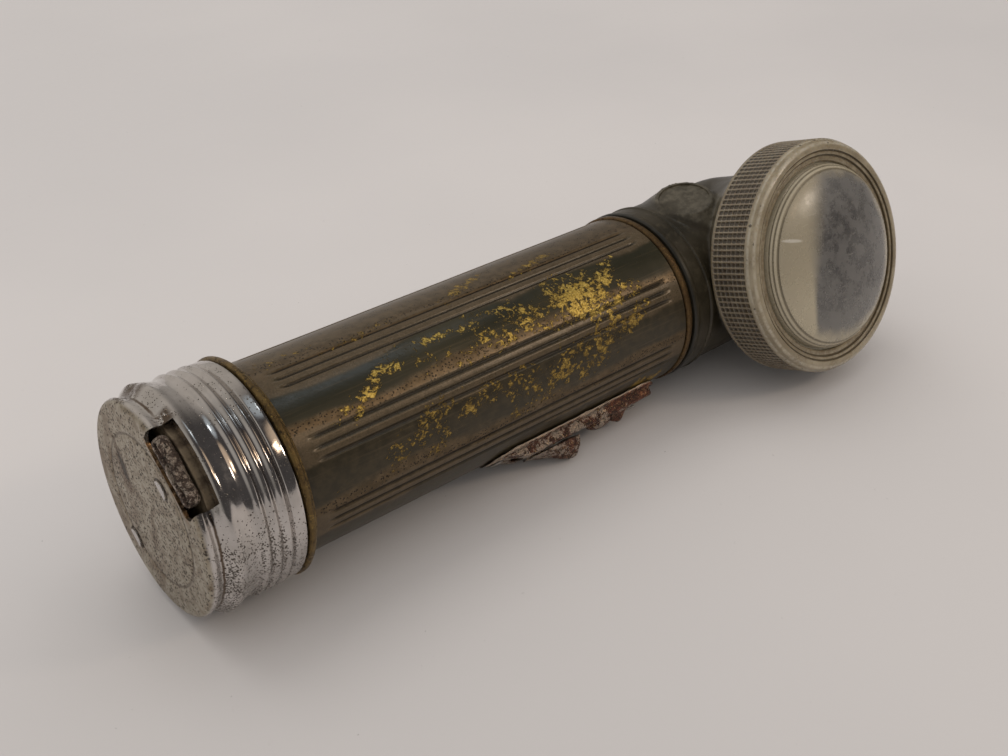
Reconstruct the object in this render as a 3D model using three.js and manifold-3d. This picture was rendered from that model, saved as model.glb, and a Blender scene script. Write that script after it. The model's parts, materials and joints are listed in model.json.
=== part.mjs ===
// Two-cell right-angle hand torch, lying on its side as it rests on a table. Millimetres, +Z up.
// Each piece is made in the torch's own axes: X along the barrel from tail face to head, the lens facing
// -Y and the elbow's round boss on top. Two groups at the end tip the torch onto its three resting points.
import * as THREE from 'three';
import { mergeVertices } from 'three/addons/utils/BufferGeometryUtils.js';
import Module from 'manifold-3d';

const wasm = await Module();
wasm.setup();

// Clearances shared by all pieces
const seatGap = 0.3;          // between pieces that touch
const threadGap = 0.35;       // between a screw neck and its cap
const overrun = 2.0;          // how far a cutting tool runs past what it cuts
const overlap = 0.4;          // how far joined forms of one piece run into each other
const weldReach = 0.0001;     // points closer than this are one point

// The two radii that most others follow
const barrelRadius = 19.0;
const ringRadius = 26.0;

// Dry cells, which set the barrel's length
const cellBody = 59.5;
const cellsHidden = 23.1;     // how much longer two cells are than the painted part

// Barrel tube and its flutes
const barrelWall = 0.7;
const fluteMargin = 2.6;      // plain paint between a bead and the flutes
const fluteTaper = 3.2;       // length in which a flute fades out
const fluteDepth = 0.38;
const fluteWidth = 1.25;
const flutePitch = 2.05;      // between neighbours in one bundle
const fluteBundles = 8;
const flutesPerBundle = 3;
const fluteTurn = 32.5;       // degrees from the boss side to the first bundle
const plainSteps = 4;         // facets between two bundles

// Tail cap, a drawn and plated shell
const capLength = 18.6;
const capFaceRise = 1.8;      // rises are over the barrel's radius
const capFaceWall = 0.7;
const capEdgeRound = 1.2;
const capValleyRise = 1.25;
const capValleyPlace = 2.7;
const capRimRise = 3.0;
const capRimPlace = 5.2;
const capWaistRise = 1.95;
const capWaistPlace = 8.7;
const capRibs = 3;
const capRibPitch = 2.15;
const capRibHeight = 0.6;
const capBandRise = 2.35;
const capBandLength = 2.5;
const capBoreRise = 1.2;      // screw bore over the ferrule neck
const capPocketRise = 0.5;    // narrower end room that holds the guide plate
const capPocketDepth = 4.7;
const capLipRound = 0.3;
const pipRadius = 1.9;        // half-moon tabs on the end face
const pipRise = 0.35;
const nearPipPlace = 10.5;    // between the middle and the window
const farPipPlace = 15.4;     // beyond the middle

// Window in the cap and the hanger that slides out of it
const windowTurn = 59.0;      // degrees from the boss side towards the lens
const windowHalfWidth = 8.2;
const windowDrop = 3.7;       // drops are below the barrel's radius
const windowDepth = 4.5;
const windowCorner = 1.6;
const hangerBarRadius = 1.65;
const hangerBarLength = 13.0;
const hangerBarDrop = 0.5;
const hangerBarSink = 1.2;    // bar centre below the end face
const hangerPlateDrop = 0.6;  // bar centre to the near side of the plate
const hangerThickness = 0.9;
const hangerHalfWidth = 5.4;
const hangerLength = 25.5;    // from the bar centre to the hidden end
const hangerCorner = 2.2;
const hangerEyeLength = 9.5;
const hangerEyeHalfWidth = 3.2;
const hangerEyePlace = 3.4;   // from the bar centre to the eye
const guideThickness = 0.6;
const guideRidgeHeight = 1.1;
const guideRidgeWidth = 0.7;

// Tail spring
const springWire = 1.2;
const springBaseRadius = 12.4;
const springTipRadius = 7.2;
const springTurns = 4;
const springStepsPerTurn = 8;
const springSides = 5;

// Brass ferrules
const neckLength = 10.2;
const neckWall = 0.55;
const tailBeadRise = 2.65;
const tailBeadWidth = 2.1;
const tailBeadRound = 0.8;
const headBeadRise = 0.45;
const headBeadWidth = 1.9;
const headBeadRound = 0.5;

// Fibre liner and cells
const linerWall = 0.6;
const cellDrop = 2.7;
const cellEdge = 1.2;
const cellRecess = 1.1;
const cellNubRadius = 4.75;
const cellNubHeight = 1.7;
const cellNubRound = 0.5;
const cellCapRadius = 9.0;
const cellCapThickness = 0.8;

// Elbow housing
const collarRise = 0.6;
const collarWidth = 6.0;
const collarEdge = 0.5;
const spigotLength = 11.0;
const elbowReach = 26.2;      // from the collar's shoulder to the lens axis
const elbowWall = 1.8;
const flareStart = 3.0;
const flareDrop = 1.4;        // drops in the head are below the ring's radius
const flareEnd = 18.8;
const flareLip = 0.4;
const flarePullShares = [0.6, 0.06];
const flareSteps = 6;
const noseDrop = 3.15;
const noseBoreDrop = 4.7;
const noseEnd = 26.4;
const bossRadius = 6.6;
const bossFoot = 7.3;
const bossTurn = 24.0;        // degrees from the top towards the lens
const bossTilt = 12.0;        // degrees that its face leans back towards the collar
const bossPlace = 8.1;        // from the collar's shoulder to the boss centre
const bossRise = 1.9;
const bossDepth = 6.0;
const bossRimWidth = 0.9;
const bossRimHeight = 0.45;

// Lens ring, lens and what they clamp
const ringFront = 31.3;
const ringEdge = 0.5;
const ringLip = 30.0;
const ringOpeningDrop = 5.1;
const ringBevel = 1.1;
const ringFirstStepDrop = 2.6;
const ringSecondStepDrop = 3.6;
const ringStepDrop = 0.4;
const knurlStart = 20.7;
const knurlEnd = 28.6;
const knurlPitch = 1.27;
const knurlDepth = 0.32;
const lensFlangeDrop = 3.3;
const lensFlangeThickness = 1.2;
const domeDrop = 5.5;
const domeWaist = 1.0;        // straight part of the dome's side
const domeRise = 5.6;
const lensWall = 1.6;
const gasketThickness = 0.8;
const gasketWidth = 1.6;

// Reflector and bulb
const reflectorWall = 0.4;
const reflectorFlangeDrop = 3.6;
const reflectorMouthDrop = 5.7;
const reflectorNeck = 5.9;
const reflectorNeckLength = 3.7;
const reflectorSteps = 6;
const bulbTipPlace = 0.6;     // from the barrel's axis to the bulb's tip
const bulbTipRadius = 1.6;
const bulbTipHeight = 1.0;
const bulbInsulatorRadius = 3.0;
const bulbInsulatorHeight = 0.7;
const bulbBaseRadius = 4.6;
const bulbBaseLength = 5.0;
const bulbBaseWall = 0.4;
const bulbFlangeThickness = 0.5;
const bulbGlobeRadius = 5.0;
const bulbGlobePlace = 14.0;
const bulbGlassWall = 0.5;
const bulbNeckLength = 1.6;   // glass inside the metal base
const stemRadius = 1.3;
const stemHeight = 4.6;
const beadRadius = 1.7;
const beadHeight = 1.4;
const postRadius = 0.3;
const postHeight = 4.8;
const postSpread = 1.3;
const filamentRadius = 0.25;
const socketWall = 0.5;
const socketFront = 12.0;

// Contacts in the head
const contactSetback = 5.0;   // from the elbow's bore to the front cell's contact
const contactHalfWidth = 2.5;
const contactThickness = 0.4;
const contactFoot = 3.2;
const contactBend = 1.6;
const contactToe = 3.0;
const contactLegPlace = 6.1;  // behind the barrel's axis
const discThickness = 1.4;
const rivetReach = 5.5;       // from the lens axis back to the rivet
const rivetShank = 1.0;
const rivetHead = 2.1;
const rivetHeadHeight = 0.6;
const groundThickness = 0.3;
const groundHalfWidth = 2.3;
const groundDrop = 2.3;       // to the strip's middle
const groundBend = 1.2;

// Switch on the barrel's underside
const switchTurn = 158.0;     // degrees from the boss side towards the lens
const switchHeadGap = 4.77;   // between the housing and the head bead
const switchLength = 48.0;
const switchFlangeHalf = 5.4;
const switchFlangeThickness = 0.6;
const switchFlangeRim = 0.8;
const switchRise = 2.7;       // of the outer face
const switchSheet = 0.6;
const switchRound = 0.7;
const slotHalf = 1.5;
const slotPlace = 6.5;        // from the housing's tail end
const slotLength = 20.0;
const slideTravel = 4.5;
const bumpPlace = 7.5;        // from the housing's tail end
const bumpLength = 14.5;
const bumpHalf = 4.2;
const bumpHeight = 4.0;
const bumpHeightShares = [0.16, 0.3, 0.52, 0.78, 0.96, 1, 0.88, 0.3];
const bumpPlaceShares = [0, 0.14, 0.34, 0.56, 0.74, 0.86, 0.96, 1];
const bumpWidthShares = [0.55, 0.8, 0.95, 1, 1, 0.98, 0.88, 0.6];
const bumpArcSteps = 8;
const stemHalf = 1.2;
const stemLength = 8.0;
const shoeLength = 11.0;
const shoeHalf = 3.1;
const shoeThickness = 0.7;
const nibRadius = 0.7;
const buttonRadius = 3.0;
const buttonRise = 1.5;
const buttonPlace = 31.0;     // from the housing's tail end
const buttonFlange = 0.7;
const buttonFlangeThickness = 0.4;
const buttonStem = 1.4;
const buttonTravel = 0.9;
const buttonArcSteps = 3;
const plateThickness = 0.4;
const plateHalf = 3.6;
const bladeThickness = 0.3;
const bladeHalf = 2.3;
const bladeDrop = 0.25;       // to the blade's middle
const bladeBend = 1.0;
const tailRivetPlace = 3.4;   // from the housing's tail end
const headRivetPlace = 7.9;   // from the housing's head end
const switchRivetHead = 1.5;
const switchRivetDome = 0.5;
const switchRivetClinch = 0.6;
const switchRivetShank = 0.8;

// Facet counts
const barrelSides = 48;
const bigSides = 32;
const midSides = 20;
const smallSides = 12;
const arcSteps = 2;
const domeSteps = 6;
const capCurveSteps = 10;
const ribSteps = 4;
const halvings = 40;          // in the search for the resting roll

// Radii and heights that follow the barrel's radius
const capFaceRadius = barrelRadius + capFaceRise;
const capValleyRadius = barrelRadius + capValleyRise;
const capRimRadius = barrelRadius + capRimRise;
const capWaistRadius = barrelRadius + capWaistRise;
const capBandRadius = barrelRadius + capBandRise;
const capBoreRadius = barrelRadius + capBoreRise;
const capPocketRadius = barrelRadius + capPocketRise;
const windowInset = barrelRadius - windowDrop;
const hangerBarPlace = barrelRadius - hangerBarDrop;
const tailBeadRadius = barrelRadius + tailBeadRise;
const headBeadRadius = barrelRadius + headBeadRise;
const cellRadius = barrelRadius - cellDrop;
const collarRadius = barrelRadius + collarRise;
const elbowRadius = barrelRadius;
const elbowBore = barrelRadius - elbowWall;
const contactReach = elbowBore - contactSetback;
const bossHeight = barrelRadius + bossRise;
const groundPlace = barrelRadius - groundDrop;
const switchHeight = barrelRadius + switchRise;
const bladePlace = barrelRadius - bladeDrop;

// Radii that follow the ring's radius
const flareRadius = ringRadius - flareDrop;
const noseRadius = ringRadius - noseDrop;
const noseBore = ringRadius - noseBoreDrop;
const ringOpening = ringRadius - ringOpeningDrop;
const lensFlangeRadius = ringRadius - lensFlangeDrop;
const domeRadius = ringRadius - domeDrop;
const reflectorFlangeRadius = ringRadius - reflectorFlangeDrop;
const reflectorMouth = ringRadius - reflectorMouthDrop;
const ringStepRadii = [ringRadius - ringFirstStepDrop, ringRadius - ringSecondStepDrop];

// Places along the barrel, from the tail face
const barrelShown = 2 * cellBody - cellsHidden;
const tailBeadStart = capLength + seatGap;
const tailBeadEnd = tailBeadStart + tailBeadWidth;
const headBeadStart = tailBeadEnd + barrelShown;
const headBeadEnd = headBeadStart + headBeadWidth;
const collarStart = headBeadEnd + seatGap;
const shoulder = collarStart + collarWidth;
const lensAxis = shoulder + elbowReach;
const spigotStart = collarStart - spigotLength;
const neckStart = tailBeadStart - neckLength;
const guideStart = hangerBarSink + hangerBarRadius + seatGap;
const guideEnd = guideStart + guideThickness;
const contactFace = lensAxis - contactReach;
const frontCellBase = contactFace - seatGap - cellNubHeight - cellBody;
const rearCellBase = frontCellBase - seatGap - cellNubHeight - cellBody;
const switchHead = headBeadStart - switchHeadGap;
const switchTail = switchHead - switchLength;

// Radii that follow from their neighbours
const barrelBore = barrelRadius - barrelWall;
const neckRadius = capBoreRadius - threadGap;
const neckBore = neckRadius - neckWall;
const spigotRadius = barrelBore - seatGap;
const linerOuter = barrelBore - seatGap;
const linerBore = linerOuter - linerWall;

// Places along the lens axis, from the barrel's axis towards the lens
const ringBack = flareEnd + flareLip + seatGap;
const reflectorSeat = noseEnd + seatGap;
const gasketPlace = reflectorSeat + reflectorWall + seatGap;
const lensSeat = gasketPlace + gasketThickness + seatGap;
const lensFace = lensSeat + lensFlangeThickness;
const insulatorPlace = bulbTipPlace + bulbTipHeight + seatGap;
const bulbBasePlace = insulatorPlace + bulbInsulatorHeight + seatGap;
const bulbFlangePlace = bulbBasePlace + bulbBaseLength;
const bulbBaseEnd = bulbFlangePlace + bulbFlangeThickness;
const neckPlace = bulbBaseEnd + seatGap;
const socketPlace = bulbBasePlace - seatGap - socketWall;
const socketBore = reflectorNeck + reflectorWall + seatGap;
const bulbFlangeRadius = socketBore - seatGap;

// Heights in the switch, from the barrel's axis
const flangeFoot = barrelRadius + seatGap;
const ceiling = switchHeight - switchSheet;
const shoeTop = ceiling - seatGap;
const shoeBottom = shoeTop - shoeThickness;
const bladeTop = bladePlace + bladeThickness / 2;
const bodyHalf = switchFlangeHalf - switchFlangeRim;
const cavityHalf = bodyHalf - switchSheet;
const bumpFoot = switchHeight + seatGap;
const slotStart = switchTail + slotPlace;
const slotEnd = slotStart + slotLength;
const buttonMiddle = switchTail + buttonPlace;
const buttonHole = buttonRadius + seatGap;
const bladeStart = slotStart;
const bladeEnd = buttonMiddle + buttonRadius;

const degrees = Math.PI / 180;

// Makes one welded, closed, outward geometry with positions only.
function weld(source) {
  const bare = source.clone();
  bare.deleteAttribute('normal');
  bare.deleteAttribute('uv');
  bare.clearGroups();
  const merged = mergeVertices(bare, weldReach);
  const order = merged.index.array;
  const place = merged.attributes.position;
  const [a, b, c] = [new THREE.Vector3(), new THREE.Vector3(), new THREE.Vector3()];
  const kept = [];
  let volume = 0;
  for (let i = 0; i < order.length; i += 3) {
    const [p, q, r] = [order[i], order[i + 1], order[i + 2]];
    if (p === q || q === r || r === p) continue;
    kept.push(p, q, r);
    a.fromBufferAttribute(place, p);
    b.fromBufferAttribute(place, q);
    c.fromBufferAttribute(place, r);
    volume += a.dot(b.cross(c));
  }
  if (volume < 0) {
    for (let i = 0; i < kept.length; i += 3) [kept[i + 1], kept[i + 2]] = [kept[i + 2], kept[i + 1]];
  }
  merged.setIndex(kept);
  return merged;
}

function toSolid(geometry) {
  const clean = weld(geometry);
  return new wasm.Manifold(new wasm.Mesh({
    numProp: 3,
    vertProperties: new Float32Array(clean.attributes.position.array),
    triVerts: new Uint32Array(clean.index.array),
  }));
}

function toGeometry(manifold) {
  const mesh = manifold.getMesh();
  const geometry = new THREE.BufferGeometry();
  geometry.setAttribute('position', new THREE.BufferAttribute(new Float32Array(mesh.vertProperties), 3));
  geometry.setIndex(Array.from(mesh.triVerts));
  return weld(geometry);
}

function join(first, ...others) {
  return toGeometry(others.reduce((sum, other) => sum.add(toSolid(other)), toSolid(first)));
}

function cut(first, ...others) {
  return toGeometry(others.reduce((rest, other) => rest.subtract(toSolid(other)), toSolid(first)));
}

function common(first, second) {
  return toGeometry(toSolid(first).intersect(toSolid(second)));
}

// Points of an arc as [place, radius] pairs, angles in degrees. A second radius makes it elliptical.
function arc(place, radius, reach, from, to, steps, rise = reach) {
  const points = [];
  for (let i = 0; i <= steps; i += 1) {
    const angle = (from + (to - from) * i / steps) * degrees;
    points.push([place + reach * Math.cos(angle), radius + rise * Math.sin(angle)]);
  }
  return points;
}

// Revolves a closed outline of [place, radius] pairs about Y, places along Y.
function turned(outline, sides) {
  const points = outline.map(([place, radius]) => new THREE.Vector2(radius, place));
  points.push(points[0].clone());
  return weld(new THREE.LatheGeometry(points, sides));
}

// The same about the barrel's axis, places from the tail face.
function aroundBarrel(outline, sides) {
  return turned(outline, sides).rotateZ(-90 * degrees);
}

// The same about the lens axis, places from the barrel's axis towards the lens.
function aroundLens(outline, sides) {
  return turned(outline, sides).rotateX(180 * degrees).translate(lensAxis, 0, 0);
}

function tube(from, to, outer, inner) {
  return [[from, inner], [from, outer], [to, outer], [to, inner]];
}

// A drum standing on Z between two heights, wider or narrower at the top.
function drum(from, to, topRadius, footRadius, sides) {
  return new THREE.CylinderGeometry(topRadius, footRadius, to - from, sides)
    .rotateX(90 * degrees)
    .translate(0, 0, (from + to) / 2);
}

// Outline of a strip with rounded corners, from one place to another along X.
function slotShape(from, to, halfWidth, corner) {
  const shape = new THREE.Shape();
  shape.absarc(to - corner, corner - halfWidth, corner, -90 * degrees, 0, false);
  shape.absarc(to - corner, halfWidth - corner, corner, 0, 90 * degrees, false);
  shape.absarc(from + corner, halfWidth - corner, corner, 90 * degrees, 180 * degrees, false);
  shape.absarc(from + corner, corner - halfWidth, corner, 180 * degrees, 270 * degrees, false);
  shape.closePath();
  return shape;
}

// Raises an outline in X and Y to a prism between two heights.
function upright(shape, from, to, curveSegments = arcSteps) {
  return new THREE.ExtrudeGeometry(shape, { depth: to - from, bevelEnabled: false, curveSegments })
    .translate(0, 0, from);
}

// Raises an outline whose X runs along Z to a prism between two places along the barrel.
function endwise(shape, from, to, curveSegments = arcSteps) {
  return upright(shape, 0, to - from, curveSegments).rotateY(-90 * degrees).translate(to, 0, 0);
}

// Outline of a bent strip of one thickness, from the points of its middle line.
function stripShape(middle, thickness) {
  const points = middle.map(([x, y]) => new THREE.Vector2(x, y));
  const sides = [[], []];
  points.forEach((point, i) => {
    const before = point.clone().sub(points[Math.max(i - 1, 0)]);
    const after = points[Math.min(i + 1, points.length - 1)].clone().sub(point);
    const along = before.normalize().add(after.normalize()).normalize();
    const lean = Math.max(after.length() ? along.dot(after) : along.dot(before), 1 / 2);
    const offset = new THREE.Vector2(-along.y, along.x).multiplyScalar(thickness / 2 / lean);
    sides[0].push(point.clone().add(offset));
    sides[1].unshift(point.clone().sub(offset));
  });
  return new THREE.Shape(sides.flat());
}

// A closed skin over rings that hold the same number of points. A closed loop of rings makes a ring body.
function skin(rings, closedLoop = false) {
  const count = rings[0].length;
  const places = rings.flat();
  const order = [];
  const bands = closedLoop ? rings.length : rings.length - 1;
  for (let i = 0; i < bands; i += 1) {
    const next = (i + 1) % rings.length;
    for (let j = 0; j < count; j += 1) {
      const k = (j + 1) % count;
      const [a, b, c, d] = [i * count + j, i * count + k, next * count + k, next * count + j];
      order.push(a, b, c, a, c, d);
    }
  }
  if (!closedLoop) {
    for (const start of [0, (rings.length - 1) * count]) {
      const middle = new THREE.Vector3();
      for (let j = 0; j < count; j += 1) middle.add(places[start + j]);
      places.push(middle.divideScalar(count));
      const hub = places.length - 1;
      for (let j = 0; j < count; j += 1) {
        const k = (j + 1) % count;
        if (start === 0) order.push(hub, start + k, start + j);
        else order.push(hub, start + j, start + k);
      }
    }
  }
  const geometry = new THREE.BufferGeometry().setFromPoints(places);
  geometry.setIndex(order);
  return weld(geometry);
}

// Finishes
function finish(color, roughness, metalness, opacity = 1) {
  return new THREE.MeshStandardMaterial({ color, roughness, metalness, opacity, transparent: opacity < 1 });
}
const finishes = {
  chrome: () => finish(0xb9b3aa, 0.22, 1),
  rust: () => finish(0x5a3323, 0.9, 0.3),
  steel: () => finish(0x8d8a84, 0.45, 1),
  brass: () => finish(0x8a6a35, 0.4, 1),
  bronze: () => finish(0xb07a45, 0.35, 1),
  paint: () => finish(0x33331f, 0.45, 0.2),
  fibre: () => finish(0x8b6b4a, 0.95, 0),
  jacket: () => finish(0x6f7478, 0.5, 0.4),
  moulding: () => finish(0x3b382b, 0.55, 0),
  clearRing: () => finish(0xa79b80, 0.4, 0, 0.8),
  lens: () => finish(0xe4e0d4, 0.12, 0, 0.35),
  mirror: () => finish(0xd6d2c8, 0.08, 1),
  glass: () => finish(0xf2efe6, 0.05, 0, 0.3),
  rubber: () => finish(0x2b2825, 0.9, 0),
  blackGlass: () => finish(0x1b1a1c, 0.3, 0),
};

// The torch and the turned frames inside it. Z points away from the barrel's axis in the window's and the
// switch's frame, and Y points towards the lens in the lens frame.
const torch = new THREE.Group();
const windowFrame = new THREE.Group();
windowFrame.rotation.x = windowTurn * degrees;
const switchFrame = new THREE.Group();
switchFrame.rotation.x = switchTurn * degrees;
const lensFrame = new THREE.Group();
lensFrame.position.x = lensAxis;
lensFrame.rotation.x = 180 * degrees;
torch.add(windowFrame, switchFrame, lensFrame);

function addPiece(name, geometry, stuff, frame = torch) {
  const mesh = new THREE.Mesh(weld(geometry), finishes[stuff]());
  mesh.geometry.computeVertexNormals();
  mesh.name = name;
  frame.add(mesh);
}

// Tail cap: rounded end face, valley, rolled rim, drawn-in waist, ribs and a plain band.
function capOutline() {
  const profile = new THREE.CatmullRomCurve3([
    new THREE.Vector3(capEdgeRound, capFaceRadius, 0),
    new THREE.Vector3(capValleyPlace, capValleyRadius, 0),
    new THREE.Vector3((capValleyPlace + capRimPlace) / 2, (capValleyRadius + capRimRadius) / 2, 0),
    new THREE.Vector3(capRimPlace, capRimRadius, 0),
    new THREE.Vector3((capRimPlace + capWaistPlace) / 2, (capRimRadius + capWaistRadius) / 2, 0),
    new THREE.Vector3(capWaistPlace, capWaistRadius, 0),
  ]);
  const edge = arc(capEdgeRound, capFaceRadius - capEdgeRound, capEdgeRound, 180, 90, arcSteps);
  const points = [[0, 0], ...edge];
  for (const spot of profile.getPoints(capCurveSteps).slice(1)) points.push([spot.x, spot.y]);
  const ribStart = capLength - capBandLength - capRibs * capRibPitch;
  for (let i = 0; i <= capRibs * ribSteps; i += 1) {
    const rise = capRibHeight * (1 - Math.cos(2 * Math.PI * i / ribSteps)) / 2;
    points.push([ribStart + capRibPitch * i / ribSteps, capWaistRadius + rise]);
  }
  points.push(
    [capLength - capBandLength + capLipRound, capBandRadius],
    [capLength - capLipRound, capBandRadius],
    [capLength, capBandRadius - capLipRound],
    [capLength, capBoreRadius],
    [capPocketDepth + seatGap, capBoreRadius],
    [capPocketDepth, capPocketRadius],
    [capFaceWall, capPocketRadius],
    [capFaceWall, 0],
  );
  return points;
}

// A half-moon tab on the end face, on the window's middle line, bulging towards the window.
function pip(place) {
  const shape = new THREE.Shape();
  shape.absarc(0, 0, pipRadius, -90 * degrees, 90 * degrees, false);
  shape.closePath();
  const tab = endwise(shape, -pipRise, capFaceWall / 2, smallSides / 2);
  return tab.translate(0, 0, place).rotateX(windowTurn * degrees);
}

function makeTailCap() {
  const windowShape = slotShape(windowInset, capRimRadius + overrun, windowHalfWidth, windowCorner);
  const opening = endwise(windowShape, -overrun, windowDepth).rotateX(windowTurn * degrees);
  const shell = cut(aroundBarrel(capOutline(), bigSides), opening);
  addPiece('tail_cap', join(shell, pip(nearPipPlace), pip(-farPipPlace)), 'chrome');
}

// Hanger: a flat tongue with an eye, rolled to a bar at its outer end.
function makeHanger() {
  const plateStart = hangerBarSink + hangerPlateDrop;
  const plateShape = slotShape(hangerBarPlace - hangerLength, hangerBarPlace, hangerHalfWidth, hangerCorner);
  const eyeEnd = hangerBarPlace - hangerEyePlace;
  plateShape.holes.push(
    slotShape(eyeEnd - hangerEyeLength, eyeEnd, hangerEyeHalfWidth, hangerEyeHalfWidth),
  );
  const plate = endwise(plateShape, plateStart, plateStart + hangerThickness, smallSides / 4);
  const bar = new THREE.CylinderGeometry(hangerBarRadius, hangerBarRadius, hangerBarLength, smallSides)
    .translate(hangerBarSink, 0, hangerBarPlace);
  addPiece('hanger_tongue', join(plate, bar), 'rust', windowFrame);
}

// Guide plate behind the hanger, with a ridge that centres the spring.
function makeGuidePlate() {
  const ridgeStart = springBaseRadius + springWire / 2 + seatGap;
  const ridgeEnd = ridgeStart + guideRidgeWidth;
  const outer = capPocketRadius - seatGap;
  addPiece('guide_plate', aroundBarrel([
    [guideStart, 0],
    [guideStart, outer],
    [guideEnd, outer],
    [guideEnd, ridgeEnd],
    [guideEnd + guideRidgeHeight, ridgeEnd],
    [guideEnd + guideRidgeHeight, ridgeStart],
    [guideEnd, ridgeStart],
    [guideEnd, 0],
  ], bigSides), 'steel');
}

// Tail spring: one unbroken wire wound in a cone, its ends straight for one wire width.
function springRoute() {
  const wire = springWire / 2;
  const from = guideEnd + seatGap + wire;
  const to = rearCellBase - seatGap - wire;
  const steps = springTurns * springStepsPerTurn;
  const route = [];
  for (let i = 0; i <= steps; i += 1) {
    const share = i / steps;
    const angle = 2 * Math.PI * springTurns * share;
    const radius = springBaseRadius + (springTipRadius - springBaseRadius) * share;
    route.push(new THREE.Vector3(
      from + (to - from) * share, radius * Math.sin(angle), radius * Math.cos(angle),
    ));
  }
  const lead = (end, angle, way) => end.clone().add(
    new THREE.Vector3(0, Math.cos(angle), -Math.sin(angle)).multiplyScalar(way * springWire),
  );
  route.unshift(lead(route[0], 0, -1));
  route.push(lead(route[route.length - 1], 2 * Math.PI * springTurns, 1));
  return route;
}

function leastGap(route, wire, stepsPerTurn) {
  let least = Infinity;
  route.forEach((point, i) => {
    for (let j = i + stepsPerTurn / 2; j < route.length; j += 1) {
      least = Math.min(least, point.distanceTo(route[j]) - wire);
    }
  });
  return least;
}

function makeTailSpring() {
  const route = springRoute();
  console.log('tail_spring least gap to itself', leastGap(route, springWire, springStepsPerTurn).toFixed(2));
  const axis = new THREE.Vector3(1, 0, 0);
  const rings = route.map((point, i) => {
    const along = route[Math.min(i + 1, route.length - 1)].clone().sub(route[Math.max(i - 1, 0)]).normalize();
    const across = new THREE.Vector3().crossVectors(axis, along).normalize();
    const up = new THREE.Vector3().crossVectors(along, across);
    return Array.from({ length: springSides }, (_, side) => {
      const angle = 2 * Math.PI * side / springSides;
      return point.clone()
        .addScaledVector(across, Math.cos(angle) * springWire / 2)
        .addScaledVector(up, Math.sin(angle) * springWire / 2);
    });
  });
  addPiece('tail_spring', skin(rings), 'steel');
}

// Tail ferrule: the screw neck and its rolled bead.
function makeTailFerrule() {
  addPiece('tail_ferrule', aroundBarrel([
    [neckStart, neckBore],
    [neckStart, neckRadius],
    [tailBeadStart, neckRadius],
    ...arc(tailBeadStart + tailBeadRound, tailBeadRadius - tailBeadRound, tailBeadRound, 180, 90, arcSteps),
    ...arc(tailBeadEnd - tailBeadRound, tailBeadRadius - tailBeadRound, tailBeadRound, 90, 0, arcSteps),
    [tailBeadEnd, neckBore],
  ], bigSides), 'brass');
}

function makeHeadFerrule() {
  addPiece('head_ferrule', aroundBarrel([
    [headBeadStart, spigotRadius + seatGap],
    ...arc(headBeadStart + headBeadRound, headBeadRadius - headBeadRound, headBeadRound, 180, 90, arcSteps),
    ...arc(headBeadEnd - headBeadRound, headBeadRadius - headBeadRound, headBeadRound, 90, 0, arcSteps),
    [headBeadEnd, spigotRadius + seatGap],
  ], bigSides), 'brass');
}

// Angles round the barrel with the dip at each: bundles of flutes with plain stretches between them.
function fluteSpots() {
  const lipShares = [[-0.5, 0], [-0.2, 1], [0.2, 1], [0.5, 0]];
  const pitchAngle = flutePitch / barrelRadius;
  const widthAngle = fluteWidth / barrelRadius;
  const bundleAngle = 2 * Math.PI / fluteBundles;
  const reach = pitchAngle * (flutesPerBundle - 1) / 2 + widthAngle / 2;
  const spots = [];
  for (let bundle = 0; bundle < fluteBundles; bundle += 1) {
    const centre = fluteTurn * degrees + bundle * bundleAngle;
    for (let flute = 0; flute < flutesPerBundle; flute += 1) {
      const middle = centre + (flute - (flutesPerBundle - 1) / 2) * pitchAngle;
      for (const [share, dip] of lipShares) spots.push({ angle: middle + share * widthAngle, dip });
    }
    for (let step = 1; step < plainSteps; step += 1) {
      spots.push({ angle: centre + reach + (bundleAngle - 2 * reach) * step / plainSteps, dip: 0 });
    }
  }
  return spots;
}

// Cuts that the switch needs through the barrel and its liner.
function switchOpening(bottom) {
  const end = bladeEnd + seatGap;
  const start = bladeStart - seatGap;
  const shape = slotShape(start, end, bladeHalf + seatGap, seatGap);
  return upright(shape, bottom, barrelRadius + overrun).rotateX(switchTurn * degrees);
}

function rivetHoles(radius, from, to) {
  return [switchTail + tailRivetPlace, switchHead - headRivetPlace].map(
    (place) => drum(from, to, radius, radius, smallSides).translate(place, 0, 0),
  );
}

// Barrel tube with pressed flutes that fade out at both ends.
function makeBarrel() {
  const spots = fluteSpots();
  const ring = (place, radius, depth) => spots.map(({ angle, dip }) => {
    const r = radius - dip * depth;
    return new THREE.Vector3(place, -r * Math.sin(angle), r * Math.cos(angle));
  });
  const tail = neckStart - seatGap;
  const head = headBeadStart - seatGap;
  const fluteStart = tailBeadEnd + fluteMargin;
  const fluteEnd = headBeadStart - fluteMargin;
  const shell = skin([
    ring(tail, barrelRadius, 0),
    ring(fluteStart, barrelRadius, 0),
    ring(fluteStart + fluteTaper, barrelRadius, fluteDepth),
    ring(fluteEnd - fluteTaper, barrelRadius, fluteDepth),
    ring(fluteEnd, barrelRadius, 0),
    ring(head, barrelRadius, 0),
    ring(head, barrelBore, 0),
    ring(tail, barrelBore, 0),
  ], true);
  const holes = rivetHoles(switchRivetShank + seatGap, barrelBore - overrun, barrelRadius + overrun)
    .map((hole) => hole.rotateX(switchTurn * degrees));
  addPiece('barrel', cut(shell, switchOpening(barrelBore - overrun), ...holes), 'paint');
}

function makeLiner() {
  const start = tailBeadEnd + seatGap;
  const sleeve = aroundBarrel(tube(start, spigotStart - seatGap, linerOuter, linerBore), bigSides);
  const holes = rivetHoles(switchRivetHead + seatGap, linerBore - overrun, linerOuter + overrun)
    .map((hole) => hole.rotateX(switchTurn * degrees));
  addPiece('liner', cut(sleeve, switchOpening(linerBore - overrun), ...holes), 'fibre');
}

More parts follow.
